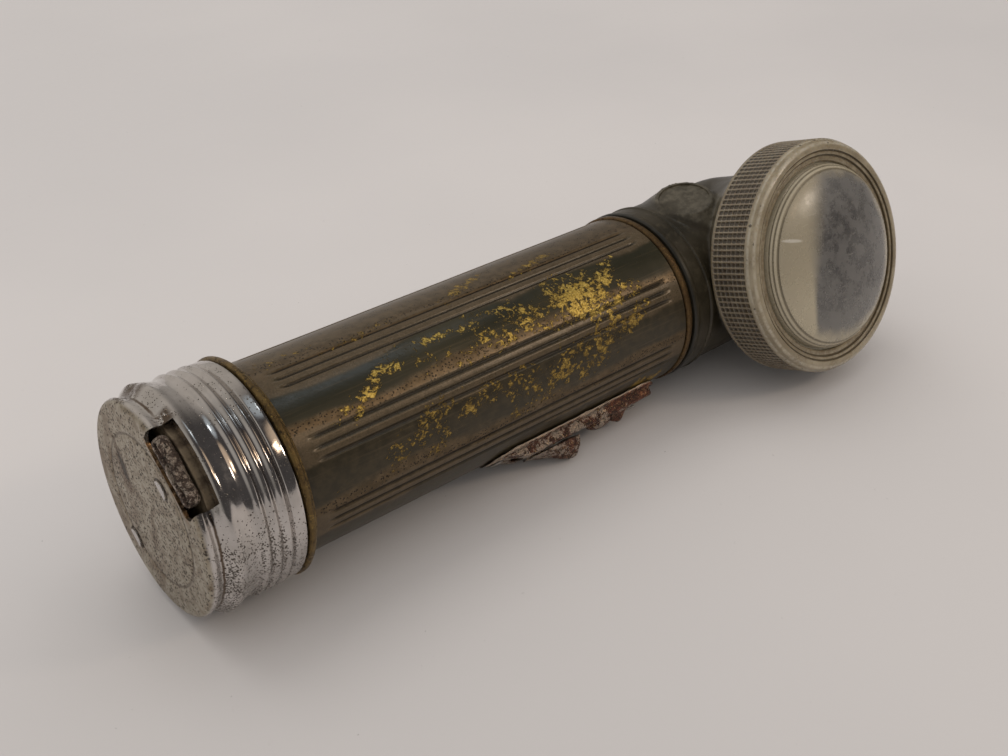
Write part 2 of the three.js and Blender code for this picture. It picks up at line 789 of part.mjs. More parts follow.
// A dry cell: jacket with a recess at the top, and the contact cap that sits in it.
function makeCell(name, base) {
  const top = base + cellBody;
  addPiece(name, aroundBarrel([
    [base, 0],
    [base, cellRadius - cellEdge],
    [base + cellEdge, cellRadius],
    [top - cellEdge, cellRadius],
    [top, cellRadius - cellEdge],
    [top, cellCapRadius + seatGap],
    [top - cellRecess, cellCapRadius + seatGap],
    [top - cellRecess, 0],
  ], midSides), 'jacket');
  const capStart = top - cellRecess + seatGap;
  const nubTop = top + cellNubHeight;
  addPiece(`${name}_cap`, aroundBarrel([
    [capStart, 0],
    [capStart, cellCapRadius],
    [capStart + cellCapThickness, cellCapRadius],
    [capStart + cellCapThickness, cellNubRadius],
    [nubTop - cellNubRound, cellNubRadius],
    [nubTop, cellNubRadius - cellNubRound],
    [nubTop, 0],
  ], midSides), 'steel');
}

// Elbow: spigot, collar, barrel branch and a flared lens branch with a screw nose, hollow throughout.
function flareCurve(fromRadius, toRadius) {
  const [placeShare, riseShare] = flarePullShares;
  const curve = new THREE.QuadraticBezierCurve(
    new THREE.Vector2(flareStart, fromRadius),
    new THREE.Vector2(
      flareStart + (flareEnd - flareStart) * placeShare,
      fromRadius + (toRadius - fromRadius) * riseShare,
    ),
    new THREE.Vector2(flareEnd, toRadius),
  );
  return curve.getPoints(flareSteps).map((point) => [point.x, point.y]);
}

// The boss stands on the elbow near the collar: its axis leans back towards the collar.
function onBoss(geometry) {
  return geometry.rotateY(-bossTilt * degrees)
    .translate(shoulder + bossPlace, 0, bossHeight)
    .rotateX(bossTurn * degrees);
}

function makeElbow() {
  const branch = aroundBarrel([
    [spigotStart, 0],
    [spigotStart, spigotRadius],
    [collarStart, spigotRadius],
    [collarStart, collarRadius - collarEdge],
    [collarStart + collarEdge, collarRadius],
    [shoulder, collarRadius],
    [shoulder, elbowRadius],
    [lensAxis, elbowRadius],
    [lensAxis, 0],
  ], bigSides);
  const lensBranch = aroundLens([
    ...arc(0, 0, elbowRadius, 180, 90, domeSteps),
    ...flareCurve(elbowRadius, flareRadius),
    [flareEnd + flareLip, flareRadius],
    [flareEnd + flareLip, noseRadius],
    [noseEnd, noseRadius],
    [noseEnd, 0],
  ], bigSides);
  const hollow = aroundLens([
    ...arc(0, 0, elbowBore, 180, 90, domeSteps),
    ...flareCurve(elbowBore, noseBore),
    [noseEnd + overrun, noseBore],
    [noseEnd + overrun, 0],
  ], bigSides);
  const bore = aroundBarrel(tube(spigotStart - overrun, lensAxis, elbowBore, 0), bigSides);
  const boss = onBoss(drum(-bossDepth, 0, bossRadius, bossFoot, midSides));
  const recess = onBoss(
    drum(-bossRimHeight, overrun, bossRadius - bossRimWidth, bossRadius - bossRimWidth, midSides),
  );
  const shell = cut(join(branch, lensBranch, boss), bore, hollow, recess);
  addPiece('elbow_housing', shell, 'moulding');
}

// Reflector: a parabola of revolution with a neck round the bulb and a flange on the nose.
function makeReflector() {
  const neckEnd = neckPlace + reflectorNeckLength;
  const mouthPlace = reflectorSeat + reflectorWall;
  const slope = (reflectorMouth ** 2 - reflectorNeck ** 2) / (mouthPlace - neckEnd);
  const bowl = [];
  for (let i = 0; i <= reflectorSteps; i += 1) {
    const radius = reflectorNeck + (reflectorMouth - reflectorNeck) * i / reflectorSteps;
    bowl.push([neckEnd + (radius ** 2 - reflectorNeck ** 2) / slope, radius]);
  }
  const back = bowl.map(([place, radius]) => {
    const lean = Math.atan2(2 * radius, slope);
    return [place - reflectorWall * Math.sin(lean), radius + reflectorWall * Math.cos(lean)];
  });
  back[0] = [neckEnd, reflectorNeck + reflectorWall];
  back[back.length - 1] = [reflectorSeat, reflectorMouth + reflectorWall];
  addPiece('reflector', turned([
    [neckPlace, reflectorNeck],
    ...bowl,
    [mouthPlace, reflectorFlangeRadius],
    [reflectorSeat, reflectorFlangeRadius],
    ...back.reverse(),
    [neckPlace, reflectorNeck + reflectorWall],
  ], bigSides), 'mirror', lensFrame);
}

function makeSocket() {
  const hole = bulbInsulatorRadius + seatGap;
  addPiece('bulb_socket', turned([
    [socketPlace, hole],
    [socketPlace, socketBore + socketWall],
    [socketFront, socketBore + socketWall],
    [socketFront, socketBore],
    [socketPlace + socketWall, socketBore],
    [socketPlace + socketWall, hole],
  ], midSides), 'bronze', lensFrame);
}

// Bulb: flanged metal base, tip contact in its insulator, glass globe and the filament on its stem.
function makeBulb() {
  const inner = bulbBaseRadius - bulbBaseWall;
  const floor = bulbBasePlace + bulbBaseWall;
  addPiece('bulb_base', turned([
    [bulbBasePlace, 0],
    [bulbBasePlace, bulbBaseRadius],
    [bulbFlangePlace, bulbBaseRadius],
    [bulbFlangePlace, bulbFlangeRadius],
    [bulbBaseEnd, bulbFlangeRadius],
    [bulbBaseEnd, inner],
    [floor, inner],
    [floor, 0],
  ], midSides), 'brass', lensFrame);
  addPiece('bulb_insulator', turned(
    tube(insulatorPlace, insulatorPlace + bulbInsulatorHeight, bulbInsulatorRadius, 0), smallSides,
  ), 'blackGlass', lensFrame);
  addPiece('bulb_tip', turned(
    [[bulbTipPlace, 0], [bulbTipPlace, bulbTipRadius / 2], [bulbTipPlace + bulbTipHeight / 2, bulbTipRadius],
      [bulbTipPlace + bulbTipHeight, bulbTipRadius], [bulbTipPlace + bulbTipHeight, 0]], smallSides,
  ), 'steel', lensFrame);
  const glassNeck = inner - seatGap;
  const glassFoot = bulbBaseEnd - bulbNeckLength;
  const neckTurn = Math.asin(glassNeck / bulbGlobeRadius) / degrees;
  const thin = bulbGlobeRadius - bulbGlassWall;
  const thinTurn = Math.asin((glassNeck - bulbGlassWall) / thin) / degrees;
  addPiece('bulb_glass', turned([
    [glassFoot, glassNeck],
    ...arc(bulbGlobePlace, 0, bulbGlobeRadius, 180 - neckTurn, 0, domeSteps),
    ...arc(bulbGlobePlace, 0, thin, 0, 180 - thinTurn, domeSteps),
    [glassFoot, glassNeck - bulbGlassWall],
  ], midSides), 'glass', lensFrame);
  const stemFoot = floor + seatGap;
  const beadStart = stemFoot + stemHeight;
  const postFoot = beadStart + beadHeight / 2;
  const postTop = postFoot + postHeight;
  const stem = turned([
    [stemFoot, 0],
    [stemFoot, stemRadius],
    [beadStart, stemRadius],
    [beadStart, beadRadius],
    [beadStart + beadHeight, beadRadius],
    [beadStart + beadHeight, 0],
  ], smallSides);
  const post = (side) => new THREE.CylinderGeometry(postRadius, postRadius, postHeight, smallSides / 2)
    .translate(side * postSpread, postFoot + postHeight / 2, 0);
  const filament = new THREE.CylinderGeometry(filamentRadius, filamentRadius, 2 * postSpread, smallSides / 2)
    .rotateZ(90 * degrees)
    .translate(0, postTop - postRadius, 0);
  addPiece('filament_mount', join(stem, post(1), post(-1), filament), 'steel', lensFrame);
}

// Fibre disc behind the bulb, cut straight beside the front cell, that carries the centre contact.
function makeContactDisc() {
  const front = contactLegPlace + contactThickness / 2 + seatGap;
  const back = front + discThickness;
  const radius = Math.sqrt(elbowBore ** 2 - back ** 2) - seatGap;
  const turn = Math.acos(-contactReach / radius);
  const shape = new THREE.Shape();
  shape.absarc(0, 0, radius, -turn, turn, false);
  shape.closePath();
  const hole = new THREE.Path();
  hole.absarc(-rivetReach, 0, rivetShank + seatGap, 0, 360 * degrees, false);
  shape.holes.push(hole);
  const disc = upright(shape, front, back, midSides).rotateX(-90 * degrees).translate(lensAxis, 0, 0);
  addPiece('contact_disc', disc, 'fibre');
  const rivet = turned([
    [front - seatGap - contactThickness - seatGap - rivetHeadHeight, 0],
    [front - seatGap - contactThickness - seatGap - rivetHeadHeight, rivetHead],
    [front - seatGap - contactThickness - seatGap, rivetHead],
    [front - seatGap - contactThickness - seatGap, rivetShank],
    [back + seatGap, rivetShank],
    [back + seatGap, rivetHead],
    [back + seatGap + rivetHeadHeight, rivetHead],
    [back + seatGap + rivetHeadHeight, 0],
  ], smallSides).translate(lensAxis - rivetReach, 0, 0);
  addPiece('contact_rivet', rivet, 'brass');
}

// Centre contact: from the front cell's cap along the disc and round to the bulb's tip.
function makeCentreContact() {
  const plate = contactFace + contactThickness / 2;
  const toe = bulbTipPlace - seatGap - contactThickness / 2;
  const loop = (contactLegPlace + toe) / 2;
  const middle = [
    [plate, -contactFoot],
    ...arc(plate + contactBend, contactLegPlace - contactBend, contactBend, 180, 90, arcSteps),
    ...arc(lensAxis, contactLegPlace - loop, loop, 90, -90, domeSteps),
    [lensAxis - contactToe, -toe],
  ];
  const shape = stripShape(middle, contactThickness);
  const strip = upright(shape, -contactHalfWidth, contactHalfWidth);
  const hole = drum(-elbowRadius, 0, rivetShank + seatGap, rivetShank + seatGap, smallSides)
    .rotateX(90 * degrees)
    .translate(lensAxis - rivetReach, 0, 0);
  addPiece('centre_contact', cut(strip, hole), 'bronze');
}

// Ground strip: from under the switch along the cells and in to the bulb socket.
function makeGroundStrip() {
  const lean = (180 - switchTurn) * degrees;
  const reach = socketBore + socketWall + seatGap;
  const tip = (reach + groundHalfWidth * Math.sin(lean)) / Math.cos(lean);
  const middle = [
    [bladeEnd - groundHalfWidth * 2, groundPlace],
    ...arc(lensAxis - groundBend, groundPlace - groundBend, groundBend, 90, 0, arcSteps),
    [lensAxis, tip],
  ];
  const strip = upright(stripShape(middle, groundThickness), -groundHalfWidth, groundHalfWidth)
    .rotateX(90 * degrees);
  addPiece('ground_strip', strip, 'brass', switchFrame);
}

// Switch cover: a curved flange on the barrel and a box with rounded edges, slot and button hole.
function makeSwitchHousing() {
  const rimShape = slotShape(switchTail, switchHead, switchFlangeHalf, switchFlangeHalf);
  const rimTop = flangeFoot + switchFlangeThickness;
  const rim = common(
    upright(rimShape, 0, switchHeight, arcSteps * 2),
    aroundBarrel(tube(switchTail - overrun, switchHead + overrun, rimTop, flangeFoot), barrelSides),
  );
  const inset = switchFlangeRim + switchRound;
  const boxShape = slotShape(
    switchTail + inset, switchHead - inset, bodyHalf - switchRound, bodyHalf - switchRound,
  );
  const foot = barrelRadius - overrun;
  const box = new THREE.ExtrudeGeometry(boxShape, {
    depth: switchHeight - foot - 2 * switchRound,
    bevelThickness: switchRound,
    bevelSize: switchRound,
    bevelSegments: arcSteps,
    curveSegments: arcSteps * 2,
  }).translate(0, 0, foot + switchRound);
  const seat = aroundBarrel(tube(switchTail - overrun, switchHead + overrun, flangeFoot, 0), barrelSides);
  const roomInset = switchFlangeRim + switchSheet;
  const room = upright(
    slotShape(switchTail + roomInset, switchHead - roomInset, cavityHalf, cavityHalf), 0, ceiling, arcSteps * 2,
  );
  const outside = switchHeight + overrun;
  const slot = upright(slotShape(slotStart, slotEnd, slotHalf, slotHalf), 0, outside);
  const hole = drum(0, outside, buttonHole, buttonHole, midSides).translate(buttonMiddle, 0, 0);
  const rivets = rivetHoles(switchRivetShank + seatGap, 0, outside);
  const cover = cut(join(rim, cut(box, seat)), room, slot, hole, ...rivets);
  addPiece('switch_housing', cover, 'rust', switchFrame);
}

// Thumb slide: a hump with a steep head side, its stem through the slot, the shoe and its contact nib.
function makeSlider() {
  const start = switchTail + bumpPlace;
  const rings = bumpPlaceShares.map((placeShare, i) => {
    const halfWidth = bumpHalf * bumpWidthShares[i];
    const height = bumpHeight * bumpHeightShares[i];
    const points = [];
    for (let step = 0; step <= bumpArcSteps; step += 1) {
      const angle = Math.PI * step / bumpArcSteps;
      points.push(new THREE.Vector3(
        start + bumpLength * placeShare, halfWidth * Math.cos(angle), bumpFoot + height * Math.sin(angle),
      ));
    }
    return points;
  });
  const stemStart = slotStart + seatGap;
  const stem = upright(
    slotShape(stemStart, stemStart + stemLength, stemHalf, stemHalf), shoeTop - overlap, bumpFoot + overlap,
  );
  const middle = stemStart + stemLength / 2;
  const shoe = upright(
    slotShape(middle - shoeLength / 2, middle + shoeLength / 2, shoeHalf, stemHalf), shoeBottom, shoeTop,
  );
  const nib = drum(bladeTop + seatGap, shoeBottom + overlap, nibRadius, nibRadius, smallSides / 2)
    .translate(middle, 0, 0);
  addPiece('switch_slider', join(skin(rings), stem, shoe, nib), 'rust', switchFrame);
}

function makeButton() {
  const flangeTop = ceiling - seatGap;
  const flangeFootHeight = flangeTop - buttonFlangeThickness;
  const stemFoot = bladeTop + seatGap + buttonTravel;
  const outline = [
    [stemFoot, 0],
    [stemFoot, buttonStem],
    [flangeFootHeight, buttonStem],
    [flangeFootHeight, buttonRadius + buttonFlange],
    [flangeTop, buttonRadius + buttonFlange],
    [flangeTop, buttonRadius],
    ...arc(switchHeight, 0, buttonRise, 90, 0, buttonArcSteps, buttonRadius),
  ];
  const button = turned(outline, midSides).rotateX(90 * degrees).translate(buttonMiddle, 0, 0);
  addPiece('flash_button', button, 'rust', switchFrame);
}

// Blade in the barrel's slot under the slide and the button, bent in to the ground strip.
function makeBlade() {
  const foot = groundPlace + groundThickness / 2 + seatGap;
  const end = bladeEnd - bladeThickness / 2;
  const middle = [
    [bladeStart, bladePlace],
    ...arc(end - bladeBend, bladePlace - bladeBend, bladeBend, 90, 0, arcSteps),
    [end, foot],
  ];
  const blade = upright(stripShape(middle, bladeThickness), -bladeHalf, bladeHalf).rotateX(90 * degrees);
  addPiece('switch_blade', blade, 'brass', switchFrame);
}

// Fibre plate on the barrel that keeps the slide off it, slotted for the contact nib.
function makeSwitchInsulator() {
  const start = slotStart - seatGap;
  const end = buttonMiddle - buttonRadius - buttonFlange - seatGap;
  const plateShape = slotShape(start, end, plateHalf, stemHalf);
  const middle = slotStart + seatGap + stemLength / 2;
  const reach = nibRadius + seatGap;
  plateShape.holes.push(slotShape(middle - reach, middle + slideTravel + reach, reach, reach));
  const plate = upright(plateShape, flangeFoot, flangeFoot + plateThickness);
  addPiece('switch_insulator', plate, 'fibre', switchFrame);
}

function makeSwitchRivet(name, place) {
  const foot = barrelBore - seatGap;
  const seat = switchHeight + seatGap;
  const rivet = turned([
    [foot - switchRivetClinch, 0],
    [foot - switchRivetClinch, switchRivetHead],
    [foot, switchRivetHead],
    [foot, switchRivetShank],
    [seat, switchRivetShank],
    ...arc(seat, 0, switchRivetDome, 90, 0, arcSteps, switchRivetHead),
  ], smallSides).rotateX(90 * degrees).translate(place, 0, 0);
  addPiece(name, rivet, 'steel', switchFrame);
}

function makeGasket() {
  addPiece('lens_gasket', turned(
    tube(gasketPlace, gasketPlace + gasketThickness, lensFlangeRadius, lensFlangeRadius - gasketWidth),
    bigSides,
  ), 'rubber', lensFrame);
}

// Lens: a flange under the ring's lip and a dome that stands out through it.
function makeLens() {
  const waistEnd = lensFace + domeWaist;
  addPiece('lens', turned([
    [lensSeat, domeRadius - lensWall],
    [lensSeat, lensFlangeRadius],
    [lensFace, lensFlangeRadius],
    [lensFace, domeRadius],
    ...arc(waistEnd, 0, domeRise, 90, 0, domeSteps, domeRadius),
    ...arc(waistEnd, 0, domeRise - lensWall, 0, 90, domeSteps, domeRadius - lensWall),
  ], bigSides), 'lens', lensFrame);
}

// Lens ring: a screw ring with a stepped lip, and a knurled band of reeds all the way round.
function makeLensRing() {
  const root = ringRadius - knurlDepth;
  const core = root - overlap / 2;
  const bore = noseRadius + threadGap;
  const steps = [];
  ringStepRadii.forEach((radius, i) => {
    steps.push([ringFront - ringStepDrop * i, radius], [ringFront - ringStepDrop * (i + 1), radius]);
  });
  const body = turned([
    [ringBack, bore],
    [ringBack, ringRadius - ringEdge],
    [ringBack + ringEdge, ringRadius],
    [knurlStart, ringRadius],
    [knurlStart + knurlDepth, core],
    [knurlEnd - knurlDepth, core],
    [knurlEnd, ringRadius],
    [ringFront - ringBevel, ringRadius - ringEdge],
    [ringFront, ringRadius - ringBevel - ringEdge],
    ...steps,
    [ringFront - ringStepDrop * ringStepRadii.length, ringOpening],
    [ringLip, ringOpening],
    [ringLip, bore],
  ], bigSides);
  const reeds = Math.round(2 * Math.PI * ringRadius / knurlPitch);
  const star = new THREE.Shape(Array.from({ length: reeds * 2 }, (_, i) => {
    const radius = i % 2 ? root : ringRadius;
    const angle = Math.PI * i / reeds;
    return new THREE.Vector2(radius * Math.cos(angle), radius * Math.sin(angle));
  }));
  const inside = new THREE.Path();
  inside.absarc(0, 0, (root + bore) / 2, 0, 360 * degrees, true);
  star.holes.push(inside);
  const band = upright(star, 0, knurlEnd - knurlStart - knurlDepth, bigSides)
    .rotateX(-90 * degrees)
    .translate(0, knurlStart + knurlDepth / 2, 0);
  addPiece('lens_ring', join(body, band), 'clearRing', lensFrame);
}

makeTailCap();
makeHanger();
makeGuidePlate();
makeTailSpring();
makeTailFerrule();
makeHeadFerrule();
makeBarrel();
makeLiner();
makeCell('rear_cell', rearCellBase);
makeCell('front_cell', frontCellBase);
makeElbow();
makeReflector();
makeSocket();
makeBulb();
makeContactDisc();
makeCentreContact();
makeGroundStrip();
makeSwitchHousing();
makeSlider();
makeButton();
makeBlade();
makeSwitchInsulator();
makeSwitchRivet('switch_rivet_tail', switchTail + tailRivetPlace);
makeSwitchRivet('switch_rivet_head', switchHead - headRivetPlace);
makeGasket();
makeLens();
makeLensRing();

// Resting attitude: the cap's rim and the collar's shoulder touch the table, and the torch rolls lens-up
// until the thumb slide or the lens ring would meet it.
function restingRoll(pitch) {
  const floorAt = (place) => capRimRadius / Math.cos(pitch) - (place - capRimPlace) * Math.tan(pitch);
  const bumpCrest = switchTail + bumpPlace + bumpLength * bumpPlaceShares[bumpHeightShares.indexOf(1)];
  const depthOfBump = (roll) => {
    const angle = (180 - switchTurn) * degrees + roll;
    return bumpFoot * Math.cos(angle)
      + Math.hypot(bumpHeight * Math.cos(angle), bumpHalf * Math.sin(angle));
  };
  let [low, high] = [0, 90 * degrees];
  for (let i = 0; i < halvings; i += 1) {
    const middle = (low + high) / 2;
    if (depthOfBump(middle) > floorAt(bumpCrest)) low = middle;
    else high = middle;
  }
  const ringTurn = Math.acos(floorAt(lensAxis) / Math.hypot(ringRadius, ringBack))
    - Math.atan2(ringBack, ringRadius);
  return Math.max(low, ringTurn);
}

const pitch = Math.atan2(capRimRadius - collarRadius, shoulder - capRimPlace);
torch.rotation.x = -restingRoll(pitch);
const resting = new THREE.Group();
resting.add(torch);
resting.rotation.y = pitch;
resting.updateMatrixWorld(true);
const extent = new THREE.Box3().setFromObject(resting, true);
const middle = extent.getCenter(new THREE.Vector3());
resting.position.set(-middle.x, -middle.y, -extent.min.z);

export default resting;
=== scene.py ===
# Looks of a two-cell right-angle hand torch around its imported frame. Pieces are made in the torch's own axes
# in millimetres: X along the barrel from the tail face, lens towards -Y, the elbow's boss on top. Angles go
# round the barrel in degrees from the boss side towards the lens.
import json
import math
import bmesh
import bpy
import numpy as np
from mathutils import Matrix, Vector


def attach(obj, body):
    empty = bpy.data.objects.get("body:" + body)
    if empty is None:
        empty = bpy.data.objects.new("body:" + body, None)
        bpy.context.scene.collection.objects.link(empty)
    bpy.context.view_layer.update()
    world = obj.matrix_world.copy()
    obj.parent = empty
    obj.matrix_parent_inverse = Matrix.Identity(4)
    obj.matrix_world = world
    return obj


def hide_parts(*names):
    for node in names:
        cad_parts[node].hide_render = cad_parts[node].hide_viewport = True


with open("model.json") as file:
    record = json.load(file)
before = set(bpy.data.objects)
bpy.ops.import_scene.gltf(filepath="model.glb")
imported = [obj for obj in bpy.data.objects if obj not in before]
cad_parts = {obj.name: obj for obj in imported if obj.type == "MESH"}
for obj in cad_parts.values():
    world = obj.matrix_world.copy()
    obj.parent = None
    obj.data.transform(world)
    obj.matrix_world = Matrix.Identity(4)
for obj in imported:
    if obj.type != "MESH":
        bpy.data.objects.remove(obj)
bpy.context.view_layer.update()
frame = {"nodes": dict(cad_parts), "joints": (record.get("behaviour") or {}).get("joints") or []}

MM = 0.001
JOINTS = {joint["name"]: joint for joint in frame["joints"]}


def torch_matrix():
    along = -Vector(JOINTS["cap_turn"]["axis"]).normalized()
    back = -Vector(JOINTS["ring_turn"]["axis"]).normalized()
    back = (back - along * back.dot(along)).normalized()
    turn = Matrix((along, back, along.cross(back))).transposed().to_4x4()
    return Matrix.Translation(JOINTS["cap_turn"]["pos_m"]) @ turn


TORCH = torch_matrix()

# Main sizes as in the solids: radii and places along the barrel in mm, turns round it in degrees
BARREL, BARREL_BORE = 19.0, 18.3
LENS_AXIS = 151.3
WINDOW_TURN = 59.0
SWITCH_TURN = 158.0
FLUTE_ANGLE, FLUTE_PITCH = 32.5, 45.0      # middle of one bundle of flutes, and from bundle to bundle
FLUTES_TAIL, FLUTES_HEAD, FLUTE_FADE = 23.6, 114.3, 3.2
FLUTE_GAP, FLUTE_HALF, FLUTE_DEPTH = 2.05, 0.64, 0.38
SWITCH_TAIL, SWITCH_HEAD = 64.13, 112.13
SEAT, FLANGE = 19.3, 19.95     # the switch cover's underside and the top of its flange, from the axis
SLOT = (70.63, 90.63)
RIVETS, RIVET_HOLE = (67.53, 104.23), 1.1
BUTTON, BUTTON_FOOT = 95.13, 21.7
SLIDER_TAIL, SLIDER_LENGTH, SLIDER_FOOT, SLIDER_HEIGHT = 74.6, 13.0, 22.0, 4.35
ELBOW, ELBOW_BORE, NOSE, NOSE_BORE = 19.0, 17.2, 22.85, 21.3
BOSS_X, BOSS_HEIGHT, BOSS_LEAN, BOSS_TURN = 133.2, 20.9, -12.0, 24.0
RING = 26.0
KNURL_BACK, KNURL_FRONT, KNURL_DEPTH = 20.3, 29.3, 0.36
STEP_RADII = (23.4, 22.4)
TABS = (10.5, -15.4)      # half-moon tabs, along the window's middle line
TAB_RADIUS = 1.9
WINDOW_END = 15.3
GOUGE = (0.0, 6.8, 7.5)
SIDES = 256
DOME_FOOT, DOME_RADIUS, DOME_RISE, DOME_GROOVES = 30.7, 20.5, 5.6, (31.25, 31.95, 32.65)
MIRROR_BACK, MIRROR_FRONT, MIRROR_HOLE, MIRROR_RIM = 12.4, 27.1, 5.9, 20.3
BULB_MIDDLE = 14.0


# Mesh helpers

def unit(degrees):
    angle = math.radians(degrees)
    return math.cos(angle), math.sin(angle)


def eased(corners, steps=5):
    """A closed outline of (place, radius, round) corners, each rounded off."""
    points = []
    count = len(corners)
    for i, (place, radius, reach) in enumerate(corners):
        here = np.array([place, radius], float)
        if not reach:
            points.append(here)
            continue
        back = np.array(corners[i - 1][:2], float) - here
        ahead = np.array(corners[(i + 1) % count][:2], float) - here
        far_back, far_ahead = np.linalg.norm(back), np.linalg.norm(ahead)
        start = here + back / far_back * min(reach, far_back * 0.45)
        end = here + ahead / far_ahead * min(reach, far_ahead * 0.45)
        points.append(here + (start - here) * 1.08)
        for k in range(steps + 1):
            t = k / steps
            points.append((1 - t) ** 2 * start + 2 * t * (1 - t) * here + t * t * end)
        points.append(here + (end - here) * 1.08)
    return np.array(points)


def smooth_line(points, steps):
    """A Catmull-Rom line through points."""
    points = [np.array(p, float) for p in points]
    points = [2 * points[0] - points[1], *points, 2 * points[-1] - points[-2]]
    line = []
    for a, b, c, d in zip(points, points[1:], points[2:], points[3:]):
        for k in range(steps):
            t = k / steps
            line.append(0.5 * (2 * b + (c - a) * t + (2 * a - 5 * b + 4 * c - d) * t * t
                               + (3 * b - a - 3 * c + d) * t ** 3))
    line.append(points[-2])
    return np.array(line)


def grid(rows, columns, closed=True):
    i = np.arange(rows if closed else rows - 1)[:, None]
    j = np.arange(columns)[None, :]
    after, beside = (i + 1) % rows, (j + 1) % columns
    corners = [i * columns + j, i * columns + beside, after * columns + beside, after * columns + j]
    return np.stack(corners, -1).reshape(-1, 4).tolist()


def shown(name, data):
    made = bpy.data.objects.new(name, data)
    bpy.context.scene.collection.objects.link(made)
    return made


def raw(points, faces):
    """A mesh object in millimetres with merged points and outward faces."""
    mesh = bpy.data.meshes.new("raw")
    mesh.from_pydata([tuple(p) for p in np.asarray(points, float)], [], faces)
    work = bmesh.new()
    work.from_mesh(mesh)
    bmesh.ops.remove_doubles(work, verts=work.verts, dist=1e-4)
    bmesh.ops.recalc_face_normals(work, faces=work.faces)
    work.to_mesh(mesh)
    work.free()
    return shown("raw", mesh)


def round_barrel(place, radius, angle):
    return np.stack([place, -radius * np.sin(angle), radius * np.cos(angle)], -1)


def round_lens(place, radius, angle):
    return np.stack([LENS_AXIS + radius * np.cos(angle), -place, radius * np.sin(angle)], -1)


def lathe(outline, about=round_barrel, sides=SIDES, shape=None):
    """Revolves a closed outline. shape may change the radius from place, radius and angle."""
    outline = np.asarray(outline, float)
    angle = np.linspace(0, 2 * np.pi, sides, endpoint=False)[None, :]
    place = outline[:, 0][:, None] + 0 * angle
    radius = outline[:, 1][:, None] + 0 * angle
    angle = angle + 0 * radius
    if shape:
        place, radius = shape(place, radius, angle)
    return raw(about(place, radius, angle).reshape(-1, 3), grid(len(outline), sides))


def rounded_strip(start, end, half, corner, steps=8):
    """The outline of a strip with rounded corners."""
    points = []
    for x, y, first in ((end - corner, corner - half, -90), (end - corner, half - corner, 0),
                        (start + corner, half - corner, 90), (start + corner, corner - half, 180)):
        for k in range(steps + 1):
            c, s = unit(first + 90 * k / steps)
            points.append((x + corner * c, y + corner * s))
    return points


def turn_about_barrel(points, degrees):
    c, s = unit(degrees)
    points = np.asarray(points, float)
    y, z = points[:, 1], points[:, 2]
    return np.stack([points[:, 0], y * c - z * s, y * s + z * c], -1)


def closed_stack(rows, count):
    """Faces of a stack of equal loops of points with both ends closed."""
    ends = [list(range(count))[::-1], list(range((rows - 1) * count, rows * count))]
    return grid(rows, count, False) + ends


def prism(outline, low, high, degrees=0.0, endwise=False):
    """An outline raised between two heights; endwise stands it along the barrel with its X outwards."""
    points = [(level, -y, x) if endwise else (x, y, level) for level in (low, high) for x, y in outline]
    return raw(turn_about_barrel(points, degrees), closed_stack(2, len(outline)))


def drum(low, high, foot, top, sides=64):
    """Points and faces of an upright round form with a foot radius and a top radius."""
    circle = [unit(360 * k / sides) for k in range(sides)]
    points = [(radius * c, radius * s, level) for level, radius in ((low, foot), (high, top)) for c, s in circle]
    return points, closed_stack(2, sides)


def pin(place, low, high, radius, sides, degrees=0.0):
    """A straight round pin on the barrel's line, turned round the barrel."""
    points, faces = drum(low, high, radius, radius, sides)
    return raw(turn_about_barrel(np.array(points) + (place, 0, 0), degrees), faces)


def settle(made):
    """Applies an object's modifiers."""
    bpy.context.view_layer.update()
    evaluated = made.evaluated_get(bpy.context.evaluated_depsgraph_get())
    mesh = bpy.data.meshes.new_from_object(evaluated)
    made.modifiers.clear()
    made.data = mesh
    return made


def soften_edges(made, width, segments):
    soft = made.modifiers.new("edge", "BEVEL")
    soft.width, soft.segments, soft.limit_method = width, segments, "ANGLE"
    return settle(made)


def combine(made, *others, how="UNION"):
    for other in others:
        step = made.modifiers.new("combine", "BOOLEAN")
        step.operation, step.solver, step.object = how, "EXACT", other
        settle(made)
        bpy.data.objects.remove(other)
    return made


def carve(made, *others):
    return combine(made, *others, how="DIFFERENCE")


def even_out(made, voxel, rounds, factor=0.5):
    """Remeshes to one even skin and softens the inner corners."""
    step = made.modifiers.new("even", "REMESH")
    step.mode, step.voxel_size = "VOXEL", voxel
    soft = made.modifiers.new("soft", "SMOOTH")
    soft.factor, soft.iterations = factor, rounds
    return settle(made)


def nudge(made, change):
    """Moves points by a function of an array of places and normals."""
    mesh = made.data
    count = len(mesh.vertices)
    places, normals = np.empty(count * 3), np.empty(count * 3)
    mesh.vertices.foreach_get("co", places)
    mesh.vertex_normals.foreach_get("vector", normals)
    moved = change(places.reshape(-1, 3), normals.reshape(-1, 3))
    mesh.vertices.foreach_set("co", np.asarray(moved, float).ravel())
    mesh.update()


def lumps(places, scale, seed):
    """Smooth waves from -1 to 1, a cheap repeatable noise."""
    draw = np.random.default_rng(seed)
    total = np.zeros(len(places))
    for _ in range(14):
        way = draw.normal(size=3) * scale
        total += np.sin(places @ way + draw.uniform(0, 2 * np.pi))
    return total / 5.0


def dress(made, name, finish, body, nodes, sharp=32):
    """Puts a finished mesh in its place in the row frame on its body."""
    made.name = name
    made.data.name = name
    made.data.transform(TORCH @ Matrix.Scale(MM, 4))
    made.data.materials.clear()
    made.data.materials.append(finish)
    made.data.shade_smooth()
    made.data.set_sharp_from_angle(angle=math.radians(sharp))
    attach(made, body)
    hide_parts(*nodes)


# Finishes

